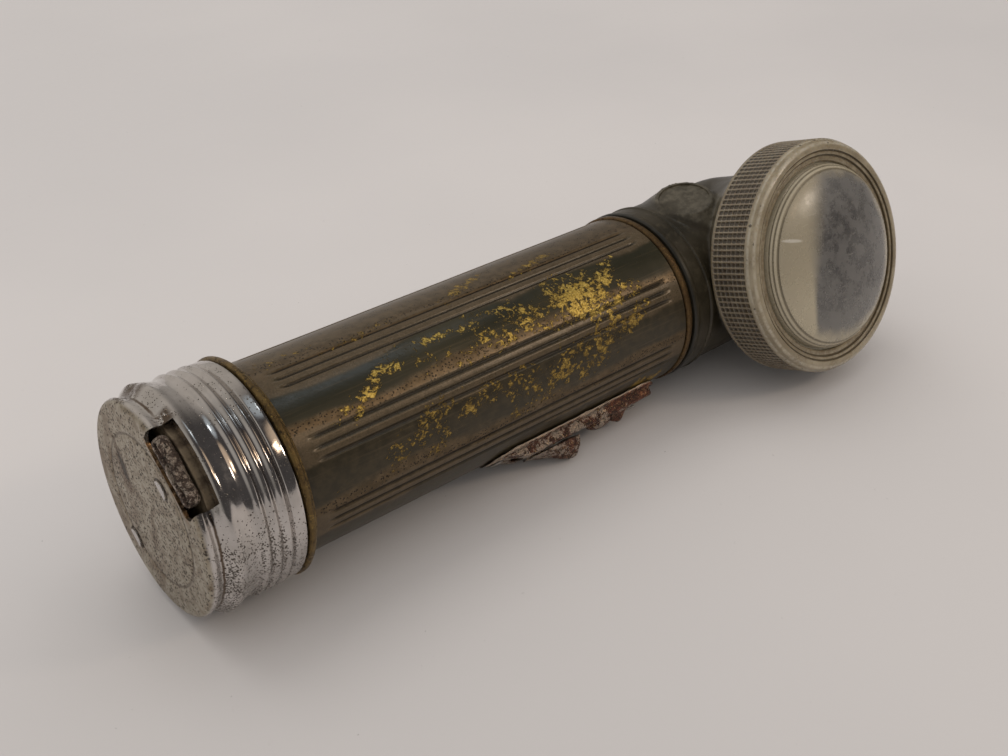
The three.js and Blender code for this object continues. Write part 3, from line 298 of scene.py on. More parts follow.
class Value:
    """A node's output. Sums, differences and products of values become nodes."""

    def __init__(self, nodes, socket):
        self.nodes, self.socket = nodes, socket

    def __add__(self, other):
        return self.nodes.math("ADD", self, other)

    __radd__ = __add__

    def __sub__(self, other):
        return self.nodes.math("SUBTRACT", self, other)

    def __rsub__(self, other):
        return self.nodes.math("SUBTRACT", other, self)

    def __mul__(self, other):
        return self.nodes.math("MULTIPLY", self, other)

    def __truediv__(self, other):
        return self.nodes.math("DIVIDE", self, other)


class Nodes:
    """A node tree built up in small steps."""

    def __init__(self, owner):
        owner.use_nodes = True
        self.tree = owner.node_tree
        self.tree.nodes.clear()

    def add(self, kind, inputs, output=0, **settings):
        node = self.tree.nodes.new(kind)
        for key, value in settings.items():
            setattr(node, key, value)
        for key, value in inputs.items():
            if isinstance(value, Value):
                self.tree.links.new(value.socket, node.inputs[key])
            else:
                node.inputs[key].default_value = value
        return Value(self, node.outputs[output]) if node.outputs else node

    def math(self, operation, a, b=0.0):
        return self.add("ShaderNodeMath", {0: a, 1: b}, operation=operation)

    def most(self, a, b):
        return self.math("MAXIMUM", a, b)

    def absolute(self, a):
        return self.math("ABSOLUTE", a)

    def root(self, a):
        return self.math("SQRT", a)

    def span(self, value, low, high, start=0.0, end=1.0):
        """Goes smoothly from start at low to end at high."""
        if low > high:
            low, high, start, end = high, low, end, start
        return self.add("ShaderNodeMapRange", {
            "Value": value, "From Min": low, "From Max": high, "To Min": start, "To Max": end,
        }, interpolation_type="SMOOTHSTEP")

    def near(self, value, middle, far, close, start=0.0, end=1.0):
        """Goes smoothly from start, far from the middle value, to end close to it."""
        return self.span(self.absolute(value - middle), far, close, start, end)

    def mix(self, share, a, b):
        return self.add("ShaderNodeMix", {0: share, 6: self.colour(a), 7: self.colour(b)}, 2, data_type="RGBA")

    @staticmethod
    def colour(value):
        return value if isinstance(value, Value) else (*value, 1.0)


class Finish(Nodes):
    """A material in the torch's own millimetres."""

    def __init__(self, name):
        self.material = bpy.data.materials.new(name)
        super().__init__(self.material)
        self.place = self.add("ShaderNodeMapping", {
            "Vector": self.add("ShaderNodeTexCoord", {}, "Object"), "Location": TORCH.to_translation(),
            "Rotation": TORCH.to_euler(), "Scale": (MM, MM, MM)}, vector_type="TEXTURE")
        self.x, self.y, self.z = self.parts(self.place)

    def parts(self, vector):
        first = self.add("ShaderNodeSeparateXYZ", {0: vector})
        return [Value(self, socket) for socket in first.socket.node.outputs]

    def vector(self, x, y):
        return self.add("ShaderNodeCombineXYZ", {0: x, 1: y, 2: 0.0})

    def placed(self, vector, location=(0, 0, 0), degrees=(0, 0, 0), scale=(1, 1, 1)):
        """A vector seen from a frame that is moved, turned and stretched."""
        return self.add("ShaderNodeMapping", {
            "Vector": vector, "Location": location, "Rotation": [math.radians(angle) for angle in degrees],
            "Scale": scale}, vector_type="TEXTURE")

    def length(self, vector):
        return self.add("ShaderNodeVectorMath", {0: vector}, "Value", operation="LENGTH")

    def stretched(self, x, y, z):
        return self.add("ShaderNodeVectorMath", {0: self.place, 1: (x, y, z)}, operation="MULTIPLY")

    def noise(self, scale, detail=4.0, rough=0.55, bend=0.0, where=None):
        return self.add("ShaderNodeTexNoise", {
            "Vector": where or self.place, "Scale": scale, "Detail": detail, "Roughness": rough,
            "Distortion": bend})

    def sway(self, noise, amount):
        """A noise made to swing round zero."""
        return (noise - 0.5) * amount

    def cells(self, scale, feature, output):
        return self.add("ShaderNodeTexVoronoi", {"Vector": self.place, "Scale": scale}, output, feature=feature)

    def clamp(self, value):
        return self.add("ShaderNodeClamp", {0: value})

    def dots(self, scale, size, amount):
        """Round spots on a loose grid; amount, about 0 to 1, says how many places have one."""
        distance, grain = (self.cells(scale, "F1", output) for output in ("Distance", "Color"))
        chance = self.clamp((amount - grain + 0.05) * 5.0)
        return self.clamp((chance * size - distance) * 14.0)

    def bend(self, height, depth, strength):
        return self.add("ShaderNodeBump", {"Strength": strength, "Distance": depth * MM, "Height": height})

    def angle(self):
        """Degrees round the barrel."""
        return self.math("ARCTAN2", self.y * -1.0, self.z) * (180 / math.pi)

    def radius(self):
        return self.root(self.y * self.y + self.z * self.z)

    def lens_radius(self):
        across = self.x - LENS_AXIS
        return self.root(across * across + self.z * self.z)

    def shader(self, colour, rough, normal, **extra):
        inputs = {"Base Color": self.colour(colour), "Roughness": rough}
        if normal:
            inputs["Normal"] = normal
        for key, value in extra.items():
            inputs[key.replace("_", " ")] = value
        return self.add("ShaderNodeBsdfPrincipled", inputs)

    def finish(self, shader):
        self.add("ShaderNodeOutputMaterial", {"Surface": shader})
        return self.material

    def surface(self, colour, rough, metal, normal, **extra):
        return self.finish(self.shader(colour, rough, normal, Metallic=metal, **extra))


def plain_metal(name, light, dark, rough, metal=1.0, scale=0.5):
    """Mottled metal or board for pieces that show little."""
    f = Finish(name)
    cloud = f.noise(scale, 5.0, 0.6)
    grain = f.noise(scale * 7, 4.0, 0.6)
    colour = f.mix(f.span(cloud, 0.38, 0.66), light, dark)
    spots = f.span(f.noise(scale * 4, 3.0, 0.7), 0.62, 0.72)
    colour = f.mix(spots * 0.5, colour, tuple(0.4 * c for c in dark))
    roughness = f.span(cloud, 0.3, 0.7, rough - 0.06, rough + 0.12) + grain * 0.08
    normal = f.bend(cloud + grain * 0.5, 0.08, 0.5)
    return f.surface(colour, roughness, metal, normal)


# Worn places on the barrel: along, round in degrees, half length, half width in mm, tilt in degrees, share bare
WORN = [
    (91, 59, 6.5, 4.4, 14, 0.55), (99, 54, 5.5, 1.6, -38, 0.38), (98, 69, 5.0, 2.0, -5, 0.26),
    (104, 64, 4.0, 1.8, 40, 0.22), (84, 68, 7.0, 1.8, 10, 0.14), (77, 58, 7.0, 3.4, 15, 0.22),
    (67, 61, 7.0, 2.8, 10, 0.16), (72, 47, 8.0, 1.1, 14, 0.20), (58, 47, 8.0, 0.9, 4, 0.28),
    (54, 57, 5.5, 2.4, 10, 0.02), (40, 59, 7.5, 1.1, -36, 0.36), (46, 53, 2.2, 1.6, 0, 0.20),
    (34, 64, 4.0, 1.1, -25, 0.14), (61, 68, 11.0, 1.0, 4, 0.00), (89, 21, 6.0, 1.1, -10, 0.28),
    (81, 26, 3.5, 0.8, -20, 0.16), (70, 18, 6.5, 1.3, -20, 0.30), (46, 23, 7.5, 1.0, -6, 0.12),
    (28, 17, 7.0, 1.6, 0, 0.00), (102, 85, 5.5, 1.7, -24, 0.28), (92, 90, 7.0, 3.4, -20, 0.26),
    (81, 97, 6.5, 3.4, -30, 0.24), (71, 94, 5.5, 3.4, 20, 0.18), (60, 91, 7.0, 2.2, -6, 0.14),
    (48, 92, 7.0, 3.0, -25, 0.14), (40, 100, 4.5, 2.2, -45, 0.14), (50, 105, 5.0, 1.8, -10, 0.06),
    (71, 110, 5.0, 2.4, 0, 0.00), (88, 106, 6.0, 2.0, -10, -0.04),
]


def paint_finish():
    f = Finish("worn_paint")
    angle = f.angle()
    cloud = f.noise(0.12, 3.0, 0.5, where=f.stretched(0.25, 1.0, 1.0))
    mid = f.noise(0.55, 5.0, 0.62)
    fine = f.noise(2.6, 5.0, 0.7)
    wavy = angle + f.span(cloud, 0.3, 0.7, -4.0, 4.0)
    # distance in degrees from the middle of the nearest bundle of flutes; the brown lies mostly above it
    turn = f.math("FRACT", (wavy - FLUTE_ANGLE) / FLUTE_PITCH + 8.5)
    apart = f.absolute(turn - 0.5) * FLUTE_PITCH
    above = f.span(turn, 0.505, 0.495) * f.span(apart, 5.0, 8.5) * f.span(apart, 17.5, 12.5)
    top = f.span(angle, -24, -12) * f.span(angle, 28, 34, 1.0, 0.0)
    brown = f.most(f.most(above, f.span(apart, 10.5, 7.5, 0.0, 0.42)), top * 0.8)
    brown = brown * f.span(fine, 0.36, 0.52, 0.62, 1.0)
    olive = f.span(f.absolute(wavy), 78, 90)
    black_paint = f.mix(f.span(cloud, 0.4, 0.7), (0.020, 0.018, 0.009), (0.036, 0.030, 0.015))
    olive_paint = f.mix(f.span(mid, 0.35, 0.7), (0.024, 0.018, 0.008), (0.040, 0.029, 0.013))
    patina = f.mix(f.span(mid, 0.35, 0.7), (0.085, 0.058, 0.030), (0.150, 0.104, 0.058))
    colour = f.mix(olive, black_paint, olive_paint)
    colour = f.mix(brown, colour, patina)
    # long fine rubbing marks
    streak = f.span(f.noise(1.0, 4.0, 0.7, where=f.stretched(0.05, 2.2, 2.2)), 0.52, 0.75)
    colour = f.mix(streak * 0.30, colour, (0.12, 0.082, 0.042))
    # the flutes painted darker towards their bottoms, brown metal on their lips
    depth = BARREL - f.radius()
    lip = f.span(apart, 9.0, 7.5) * f.span(depth, 0.14, 0.07)
    colour = f.mix(lip * f.span(fine, 0.35, 0.65, 0.25, 0.6), colour, (0.130, 0.092, 0.054))
    colour = f.mix(f.span(depth, 0.17, 0.34) * 0.8, colour, (0.016, 0.012, 0.007))
    # paint worn through to yellow brass in ragged flecks
    about = f.vector(f.x, angle * math.radians(BARREL))
    most = -1.0
    for along, around, length, width, tilt, share in WORN:
        spot = f.placed(about, (along, math.radians(around) * BARREL, 0), (0, 0, tilt), (length, width, 1))
        reach = f.add("ShaderNodeVectorMath", {0: spot, 1: spot}, "Value", operation="DOT_PRODUCT")
        most = f.most(most, share - reach * 0.34)
    behind = f.most(f.span(angle, -8, -20), f.span(angle, 128, 140))
    loose = f.span(f.noise(0.06, 2.0, 0.5), 0.60, 0.72)
    most = f.most(most, behind * loose * 1.1 - 0.75)
    leaning = f.placed(f.place, degrees=(-60, 0, -35), scale=(1.5, 0.8, 1.0))
    ragged = f.noise(1.0, 9.0, 0.76, 0.8, where=leaning)
    flake = f.noise(0.42, 3.0, 0.6, 0.5)
    field = most + (f.sway(ragged, 4.6) + f.sway(flake, 2.2))
    worn = f.span(field, 0.19, 0.25)
    near = f.span(most, -1.3, 0.0)
    stray = f.span(f.noise(1.5, 9.0, 0.80) + near * 0.09, 0.705, 0.715) * near
    worn = f.most(worn, stray * 0.9)
    yellow = f.mix(f.span(fine, 0.38, 0.62), (0.36, 0.230, 0.034), (0.69, 0.50, 0.13))
    tan = f.mix(f.span(fine, 0.38, 0.62), (0.25, 0.155, 0.032), (0.48, 0.33, 0.085))
    yellow = f.mix(f.span(angle, 76, 84), yellow, tan)
    yellow = f.mix(f.span(angle, 40, 32), yellow, tan)
    yellow = f.mix(f.span(field, 0.60, 0.22), yellow, (0.17, 0.105, 0.026))
    crack = f.span(f.cells(1.3, "DISTANCE_TO_EDGE", "Distance"), 0.06, 0.015)
    yellow = f.mix(crack * f.span(mid, 0.4, 0.6, 0.2, 0.8), yellow, (0.05, 0.034, 0.014))
    colour = f.mix(worn, colour, yellow)
    # small dark pits along the rubbed zones
    pit = f.dots(2.4, 0.46, above * (f.sway(mid, 1.0) + 0.52))
    colour = f.mix(pit * 0.85, colour, (0.012, 0.009, 0.006))
    rough = f.span(brown, 0.0, 1.0, 0.16, 0.24) + mid * 0.16 + olive * 0.12 + worn * 0.14
    height = worn * -0.5 + fine * 0.10 + f.noise(0.3, 2.0, 0.5) * 0.5 - pit * 0.6
    metal = f.most(brown * 0.62, worn * 0.55)
    return f.surface(colour, rough, metal, f.bend(height, 0.10, 0.9), Specular_IOR_Level=0.35)


def bead_finish():
    f = Finish("brown_brass")
    cloud = f.noise(0.35, 4.0, 0.6)
    mid = f.noise(1.1, 5.0, 0.7)
    fine = f.noise(2.4, 6.0, 0.75)
    colour = f.mix(f.span(cloud, 0.35, 0.65), (0.11, 0.070, 0.027), (0.19, 0.125, 0.045))
    colour = f.mix(f.span(fine, 0.57, 0.66), colour, (0.42, 0.28, 0.075))
    colour = f.mix(f.span(mid, 0.54, 0.64), colour, (0.028, 0.020, 0.011))
    colour = f.mix(f.span(f.x, 60, 100, 0.0, 0.55), colour, (0.085, 0.045, 0.022))
    rough = cloud * 0.3 + f.span(mid, 0.4, 0.7, 0.16, 0.36)
    return f.surface(colour, rough, 0.75, f.bend(fine + mid, 0.14, 0.8))


def chrome_finish():
    f = Finish("plated_cap")
    angle, radius = f.angle(), f.radius()
    cloud = f.noise(0.16, 4.0, 0.55)
    mid = f.noise(0.6, 5.0, 0.65)
    face = f.span(f.x, 0.9, 0.25)
    low = f.span(angle, 92, 118)
    rim = f.span(f.x, 2.6, 3.1) * f.span(f.x, 5.4, 4.4)
    ribs = f.span(f.x, 9.3, 9.9) * f.span(f.x, 16.7, 16.1)
    groove = ribs * f.span(radius - 21.0, 0.30, 0.05)
    corner = f.near(angle, 33.0, 6, 2) * f.near(f.x, 3.4, 2.0, 0.8)
    notch = f.most(f.near(angle, -5.0, 15, 7) * f.span(f.x, 7.4, 5.8), corner)
    # round pits, thickest low down on the rim and between the ribs
    amount = low * (0.20 + f.most(rim, groove) * 0.30) + 0.18 + f.sway(cloud, 0.8) + notch * 0.25
    amount = amount + f.span(angle, -20, -50) * 0.16
    pit = f.most(f.dots(2.1, 0.46, amount - 0.03), f.dots(3.6, 0.52, amount + 0.05))
    plate = f.mix(f.span(cloud, 0.35, 0.7), (0.60, 0.565, 0.54), (0.48, 0.45, 0.42))
    colour = f.mix(pit * 0.9, plate, (0.050, 0.035, 0.022))
    # brown crevice between the face's edge and the rim, and the corroded notch
    crevice = f.near(f.x, f.sway(mid, 0.5) + 2.75, 0.34, 0.10)
    crevice = crevice * f.most(f.span(angle, 76, 88), f.span(angle, 36, 20))
    rusty = notch * f.span(mid + f.span(f.x, 2.0, 4.0) * 0.12, 0.46, 0.56)
    colour = f.mix(f.most(crevice, rusty) * 0.88, colour, (0.085, 0.050, 0.024))
    # end face: plate gone dull under close fine pitting, worst inside the pressed circle
    dense = f.span(radius, 14.8, 13.8) * 0.14 + 0.42 + f.sway(f.noise(0.30, 4.0, 0.6), 1.0)
    small = f.most(f.dots(1.25, 0.38, dense - 0.03), f.dots(2.2, 0.44, dense))
    dull = f.mix(f.span(f.noise(0.5, 4.0, 0.6), 0.4, 0.65), (0.42, 0.375, 0.300), (0.265, 0.220, 0.160))
    brown = f.span(f.noise(0.20, 4.0, 0.65) + f.span(f.y, -2, 14, 0.0, 0.12), 0.50, 0.72)
    dull = f.mix(brown * 0.62, dull, (0.17, 0.115, 0.07))
    dull = f.mix(small * 0.94, dull, (0.040, 0.028, 0.018))
    dull = f.mix(f.near(radius, 14.6, 0.45, 0.10) * 0.6, dull, (0.09, 0.065, 0.042))
    # two bright half-moon tabs with dirt round them, and a gouge
    _, across, out = f.parts(f.placed(f.place, degrees=(WINDOW_TURN, 0, 0)))
    tab, dirt = 0.0, 0.0
    for place in TABS:
        rise = out - place
        reach = f.root(across * across + rise * rise)
        tab = f.most(tab, f.span(reach, 1.95, 1.8) * f.span(rise, -0.05, 0.1))
        dirt = f.most(dirt, f.near(reach, TAB_RADIUS + 0.25, 0.30, 0.1) * f.span(rise, -0.4, 0.0))
    gouge = f.length(f.placed(f.place, GOUGE, scale=(2.0, 0.9, 2.6)))
    stain = f.span(gouge + f.sway(mid, 2.4), 2.5, 1.2)
    dull = f.mix(stain * 0.75, dull, (0.12, 0.075, 0.042))
    dirt = f.most(dirt, f.span(gouge + f.sway(mid, 1.8), 1.4, 0.9))
    dull = f.mix(dirt * 0.9, dull, (0.040, 0.028, 0.018))
    dull = f.mix(tab, dull, (0.55, 0.52, 0.50))
    colour = f.mix(face, colour, dull)
    # brassy cut edge of the window
    cut = f.near(out, WINDOW_END, 0.25, 0.08) * f.span(f.absolute(across), 8.6, 8.3)
    colour = f.mix(cut * 0.9, colour, f.mix(f.span(mid, 0.4, 0.6), (0.46, 0.29, 0.15), (0.12, 0.07, 0.035)))
    rough_side = f.span(mid, 0.3, 0.7, 0.06, 0.15) + low * 0.16 + pit * 0.4
    rough_face = f.span(tab, 0.0, 1.0, 0.42, 0.16) + small * 0.2
    rough = f.mix(face, rough_side, rough_face)
    metal = 1.0 - f.most(pit, face * small) * 0.7
    height = mid * 0.10 - f.mix(face, pit, small)
    return f.surface(colour, rough, metal, f.bend(height, 0.10, 0.8))


def rust_finish(name, seed, dark, red, warm, bare_share, glint):
    """Rust over steel; what lies near the barrel's head is redder and has less bare steel."""
    f = Finish(name)
    head = f.span(f.x, 88, 101)
    where = f.add("ShaderNodeVectorMath", {0: f.place, 1: (seed, seed, seed)}, operation="ADD")
    cloud = f.noise(0.28, 4.0, 0.6, where=where)
    mid = f.noise(0.9, 6.0, 0.7, 0.4, where=where)
    fine = f.noise(3.2, 6.0, 0.75, where=where)
    colour = f.mix(f.span(mid, 0.36, 0.60), dark, red)
    warmed = mid + cloud * 0.4
    colour = f.mix(f.span(warmed, 0.72, 0.86), colour, warm)
    kept = cloud + f.sway(mid, 1.0) - head * 0.14
    bare = f.span(kept, 0.60 - bare_share, 0.66 - bare_share)
    steel = f.mix(f.span(fine, 0.35, 0.65), (0.19, 0.158, 0.125), (0.62, 0.53, 0.44))
    colour = f.mix(bare * 0.85, colour, steel)
    colour = f.mix(f.span(f.noise(1.6, 5.0, 0.7, where=where), 0.44, 0.36) * 0.9, colour, (0.012, 0.008, 0.006))
    # painted glints: small bright specks over the rust
    colour = f.mix(f.span(fine, 0.585, 0.63) * 0.9, colour, glint)
    # painted highlight: the thin edge that lies against the barrel is painted bright, and kept bare metal
    edge = f.span(f.radius(), 19.80, 19.55) * f.span(f.x, 40, 41)
    colour = f.mix(edge * 0.8, colour, (0.60, 0.50, 0.40))
    bare = f.most(bare, edge * 0.9)
    rough = f.span(bare, 0.0, 1.0, 0.56, 0.30)
    metal = f.span(bare, 0.0, 1.0, 0.40, 0.85)
    height = mid * 0.8 + fine * 0.45
    return f.surface(colour, rough, metal, f.bend(height, 0.30, 1.0))


def moulding_finish():
    f = Finish("moulding")
    cloud = f.noise(0.10, 4.0, 0.55)
    mid = f.noise(0.6, 5.0, 0.65)
    fine = f.noise(3.5, 4.0, 0.6)
    colour = f.mix(f.span(cloud, 0.35, 0.68), (0.019, 0.015, 0.008), (0.040, 0.031, 0.017))
    colour = f.mix(f.span(mid, 0.50, 0.72) * 0.45, colour, (0.075, 0.060, 0.036))
    # painted shade: near black on the collar's shoulder next to the bead
    front = f.span(f.x, 120.0, 119.3) * f.span(f.radius(), 20.2, 20.0)
    colour = f.mix(front * 0.7, colour, (0.010, 0.010, 0.008))
    dust = f.span(f.noise(1.4, 6.0, 0.75), 0.58, 0.74)
    colour = f.mix(dust * 0.22, colour, (0.16, 0.135, 0.095))
    raised = f.span(f.radius(), 19.6, 20.3) * f.near(f.x, 133.0, 8.5, 7.0)
    colour = f.mix(raised * f.span(mid, 0.35, 0.65, 0.2, 0.7), colour, (0.115, 0.098, 0.068))
    scuff = f.span(f.noise(1.6, 5.0, 0.7, where=f.stretched(1.8, 0.25, 0.8)), 0.63, 0.70)
    colour = f.mix(scuff * 0.30, colour, (0.20, 0.17, 0.13))
    pit = f.dots(1.5, 0.30, 0.02 + f.sway(cloud, 0.8))
    colour = f.mix(pit * 0.6, colour, (0.008, 0.007, 0.005))
    rough = f.span(cloud, 0.3, 0.7, 0.24, 0.42) + fine * 0.10
    height = mid * 0.35 + fine * 0.10 - pit * 0.5
    return f.surface(colour, rough, 0.0, f.bend(height, 0.10, 0.7), Specular_IOR_Level=0.4)


def ring_finish():
    f = Finish("ring_plastic")
    out, ahead = f.lens_radius(), f.y * -1.0
    cloud = f.noise(0.14, 4.0, 0.55)
    mid = f.noise(0.8, 5.0, 0.65)
    fine = f.noise(3.0, 5.0, 0.7)
    colour = f.mix(f.span(cloud, 0.35, 0.68), (0.285, 0.238, 0.160), (0.190, 0.150, 0.092))
    colour = f.mix(f.span(mid, 0.45, 0.75) * 0.5, colour, (0.135, 0.098, 0.058))
    knurl = f.span(ahead, 20.0, 20.4) * f.span(ahead, 29.6, 29.2)
    deep = knurl * f.span(out, RING - 0.05, RING - 0.22)
    colour = f.mix(knurl * 0.5, colour, (0.165, 0.130, 0.095))
    colour = f.mix(deep * 0.85, colour, (0.036, 0.026, 0.017))
    # painted highlight: pale lines along the front edges; and streaks round the front
    edge = f.most(f.near(ahead, 29.9, 0.45, 0.12), f.near(out, 24.9, 0.5, 0.1))
    colour = f.mix(edge * f.span(mid, 0.35, 0.6, 0.15, 0.7), colour, (0.42, 0.375, 0.295))
    streak = f.span(f.noise(1.0, 4.0, 0.7, where=f.vector(out * 2.2, f.y * 2.2)), 0.5, 0.72)
    colour = f.mix(streak * 0.40, colour, (0.27, 0.23, 0.165))
    # grime in the inner steps, behind the knurl and along its front edge
    for radius in STEP_RADII:
        line = f.near(out, radius - 0.12, 0.26, 0.08)
        colour = f.mix(line * 0.80, colour, (0.055, 0.038, 0.020))
    step = f.span(ahead, 31.1, 30.9) * f.span(out, 23.5, 23.3)
    colour = f.mix(step * f.span(mid, 0.35, 0.6, 0.1, 0.5), colour, (0.12, 0.085, 0.045))
    colour = f.mix(f.span(ahead, 20.6, 19.7) * 0.6, colour, (0.060, 0.044, 0.028))
    front = f.near(ahead, 29.7, 0.9, 0.3)
    speck = f.dots(1.0, 0.42, front * 0.22 + (f.sway(mid, 1.2) + 0.06))
    colour = f.mix(speck * 0.8, colour, (0.040, 0.028, 0.018))
    rough = f.span(cloud, 0.3, 0.7, 0.12, 0.26) + fine * 0.10
    height = mid * 0.4 + fine * 0.12
    return f.surface(colour, rough, 0.0, f.bend(height, 0.10, 0.6), Subsurface_Weight=0.2,
                     Subsurface_Radius=(0.004, 0.0025, 0.0012), Specular_IOR_Level=0.5)


def lens_finish():
    f = Finish("lens")
    across = f.x - LENS_AXIS
    out = f.lens_radius()
    cloud = f.noise(0.16, 5.0, 0.6)
    blotch = f.noise(0.28, 6.0, 0.68)
    fine = f.noise(1.8, 6.0, 0.72)
    scratch = f.span(f.noise(1.2, 5.0, 0.7, where=f.stretched(0.25, 1.0, 1.6)), 0.62, 0.70)
    # painted reflection in the dome: a pale side and a dark side with mottled tarnish, divided sharply low on the
    # barrel's side and softly above
    bow = (f.z + 8.0) * (f.z + 8.0)
    soft = f.span(f.z, -8.0, 11.0, 1.0, 5.0)
    edge = (across - bow * 0.012 + 11.6) / soft
    within = out + (f.sway(cloud, 5.0) - f.span(f.z, 4, 16, 0.0, 1.6))
    dark = f.span(edge, -0.6, 0.9) * f.span(within, 19.8, 15.2)
    # painted light: the pale side lighter low down
    pale = f.mix(f.span(f.z, -14, 8), (0.50, 0.435, 0.310), (0.37, 0.315, 0.220))
    murk = f.mix(f.span(blotch, 0.36, 0.66), (0.072, 0.067, 0.063), (0.170, 0.158, 0.146))
    murk = f.mix(f.span(fine, 0.48, 0.72) * 0.5, murk, (0.26, 0.25, 0.24))
    # painted light: the dark side lighter towards the pale side, the top and the bottom
    light = f.span(across, -3.0, -11.0, 0.0, 0.40) + f.span(f.absolute(f.z), 7.0, 17.0, 0.0, 0.5)
    murk = f.mix(light + f.span(f.noise(0.09, 2.0, 0.5), 0.42, 0.62, 0.0, 0.3), murk, (0.21, 0.20, 0.185))
    haze = f.mix(dark, pale, murk)
    haze = f.mix(scratch * 0.35, haze, (0.42, 0.38, 0.31))
    # the dome's stepped foot is as yellow as the ring, with dirt in its grooves
    foot = f.span(f.y, -32.8, -32.5)
    haze = f.mix(foot, haze, f.mix(cloud, (0.33, 0.28, 0.19), (0.46, 0.40, 0.29)))
    for groove in DOME_GROOVES:
        line = f.near(f.y, -groove, 0.24, 0.08)
        haze = f.mix(line * 0.75, haze, (0.10, 0.078, 0.045))
    # painted reflection: a short bright dash on the dome
    reflection_dash = f.length(f.placed(f.place, (LENS_AXIS - 14.5, -35.0, 7.8), (0, 16, 0), (2.6, 9.0, 0.42)))
    haze = f.mix(f.span(reflection_dash, 1.1, 0.6) * 0.7, haze, (0.68, 0.63, 0.54))
    haze = f.mix(f.dots(0.7, 0.24, 0.16) * 0.6, haze, (0.06, 0.045, 0.03))
    rough = f.span(blotch, 0.35, 0.65, 0.23, 0.32) + scratch * 0.15
    normal = f.bend(f.noise(0.12, 2.0, 0.5) * 0.8 + fine * 0.05, 0.15, 0.5)
    clear = f.shader(f.mix(cloud, (0.90, 0.86, 0.77), (0.80, 0.75, 0.65)), rough, normal, Transmission_Weight=1.0,
                     IOR=1.49)
    veil = f.shader(haze, rough, normal)
    share = f.span(dark, 0.0, 1.0, 0.74, 0.66) + scratch * 0.15 + foot * 0.2
    return f.finish(f.add("ShaderNodeMixShader", {0: share, 1: clear, 2: veil}))


def mirror_finish():
    f = Finish("reflector_silver")
    cloud = f.noise(0.22, 5.0, 0.6)
    spots = f.span(f.noise(0.9, 6.0, 0.72), 0.55, 0.70)
    colour = f.mix(f.span(cloud, 0.35, 0.7), (0.74, 0.71, 0.66), (0.56, 0.53, 0.49))
    colour = f.mix(spots * 0.55, colour, (0.22, 0.20, 0.18))
    rough = f.span(cloud, 0.3, 0.7, 0.16, 0.26) + spots * 0.22
    return f.surface(colour, rough, 1.0, f.bend(cloud + spots * 0.3, 0.10, 0.5))


def glass_finish():
    f = Finish("bulb_glass")
    cloud = f.noise(0.5, 3.0, 0.5)
    return f.surface(f.mix(cloud, (0.97, 0.96, 0.94), (0.88, 0.86, 0.82)), cloud * 0.08, 0.0, None,
                     Transmission_Weight=1.0, IOR=1.5)


def floor_finish():
    f = Finish("pale_board")
    cloud = f.noise(0.004, 4.0, 0.5)
    fine = f.noise(0.35, 5.0, 0.6)
    colour = f.mix(f.span(cloud, 0.35, 0.68), (0.60, 0.565, 0.54), (0.555, 0.525, 0.505))
    # painted shade: the floor darker towards the front
    front = f.span(f.x * 0.57 + f.y * 0.82, 100, -140, 0.0, 0.7)
    colour = f.mix(front, colour, (0.470, 0.447, 0.430))
    fleck = f.span(f.noise(0.16, 6.0, 0.75), 0.66, 0.74)
    colour = f.mix(fleck * 0.22, colour, (0.40, 0.36, 0.33))
    speck = f.span(f.noise(0.75, 3.0, 0.6), 0.745, 0.775)
    colour = f.mix(speck * 0.7, colour, (0.14, 0.12, 0.11))
    rough = fine * 0.14 + 0.42
    return f.surface(colour, rough, 0.0, f.bend(fine, 0.10, 0.25), Specular_IOR_Level=0.3)


PAINT, BEAD, CHROME = paint_finish(), bead_finish(), chrome_finish()
RUST = rust_finish("rusty_hanger", 3.0, (0.030, 0.019, 0.013), (0.085, 0.055, 0.040), (0.17, 0.095, 0.055), 0.12,
                   (0.50, 0.38, 0.28))
SWITCH_RUST = rust_finish("rusty_switch", 11.0, (0.030, 0.016, 0.011), (0.130, 0.044, 0.027), (0.34, 0.125, 0.045),
                          0.14, (0.92, 0.60, 0.28))
MOULDING, RING_STUFF, LENS_STUFF = moulding_finish(), ring_finish(), lens_finish()
MIRROR, GLASS = mirror_finish(), glass_finish()
GRIMY = plain_metal("grimy_steel", (0.26, 0.20, 0.13), (0.10, 0.070, 0.045), 0.45, 0.6)
STEEL = plain_metal("dull_steel", (0.42, 0.40, 0.37), (0.26, 0.23, 0.20), 0.34)
BRASS = plain_metal("contact_brass", (0.46, 0.33, 0.14), (0.26, 0.17, 0.07), 0.32)
BRONZE = plain_metal("spring_bronze", (0.50, 0.31, 0.15), (0.30, 0.17, 0.08), 0.30)
FIBRE = plain_metal("fibre", (0.30, 0.19, 0.11), (0.20, 0.12, 0.07), 0.78, 0.0, 0.8)
JACKET = plain_metal("cell_jacket", (0.22, 0.24, 0.26), (0.14, 0.15, 0.17), 0.42, 0.3, 0.2)
RUBBER = plain_metal("rubber", (0.030, 0.027, 0.025), (0.016, 0.014, 0.013), 0.82, 0.0, 0.9)
BLACK_GLASS = plain_metal("black_glass", (0.012, 0.012, 0.014), (0.008, 0.008, 0.010), 0.14, 0.0, 0.9)


# Tail end

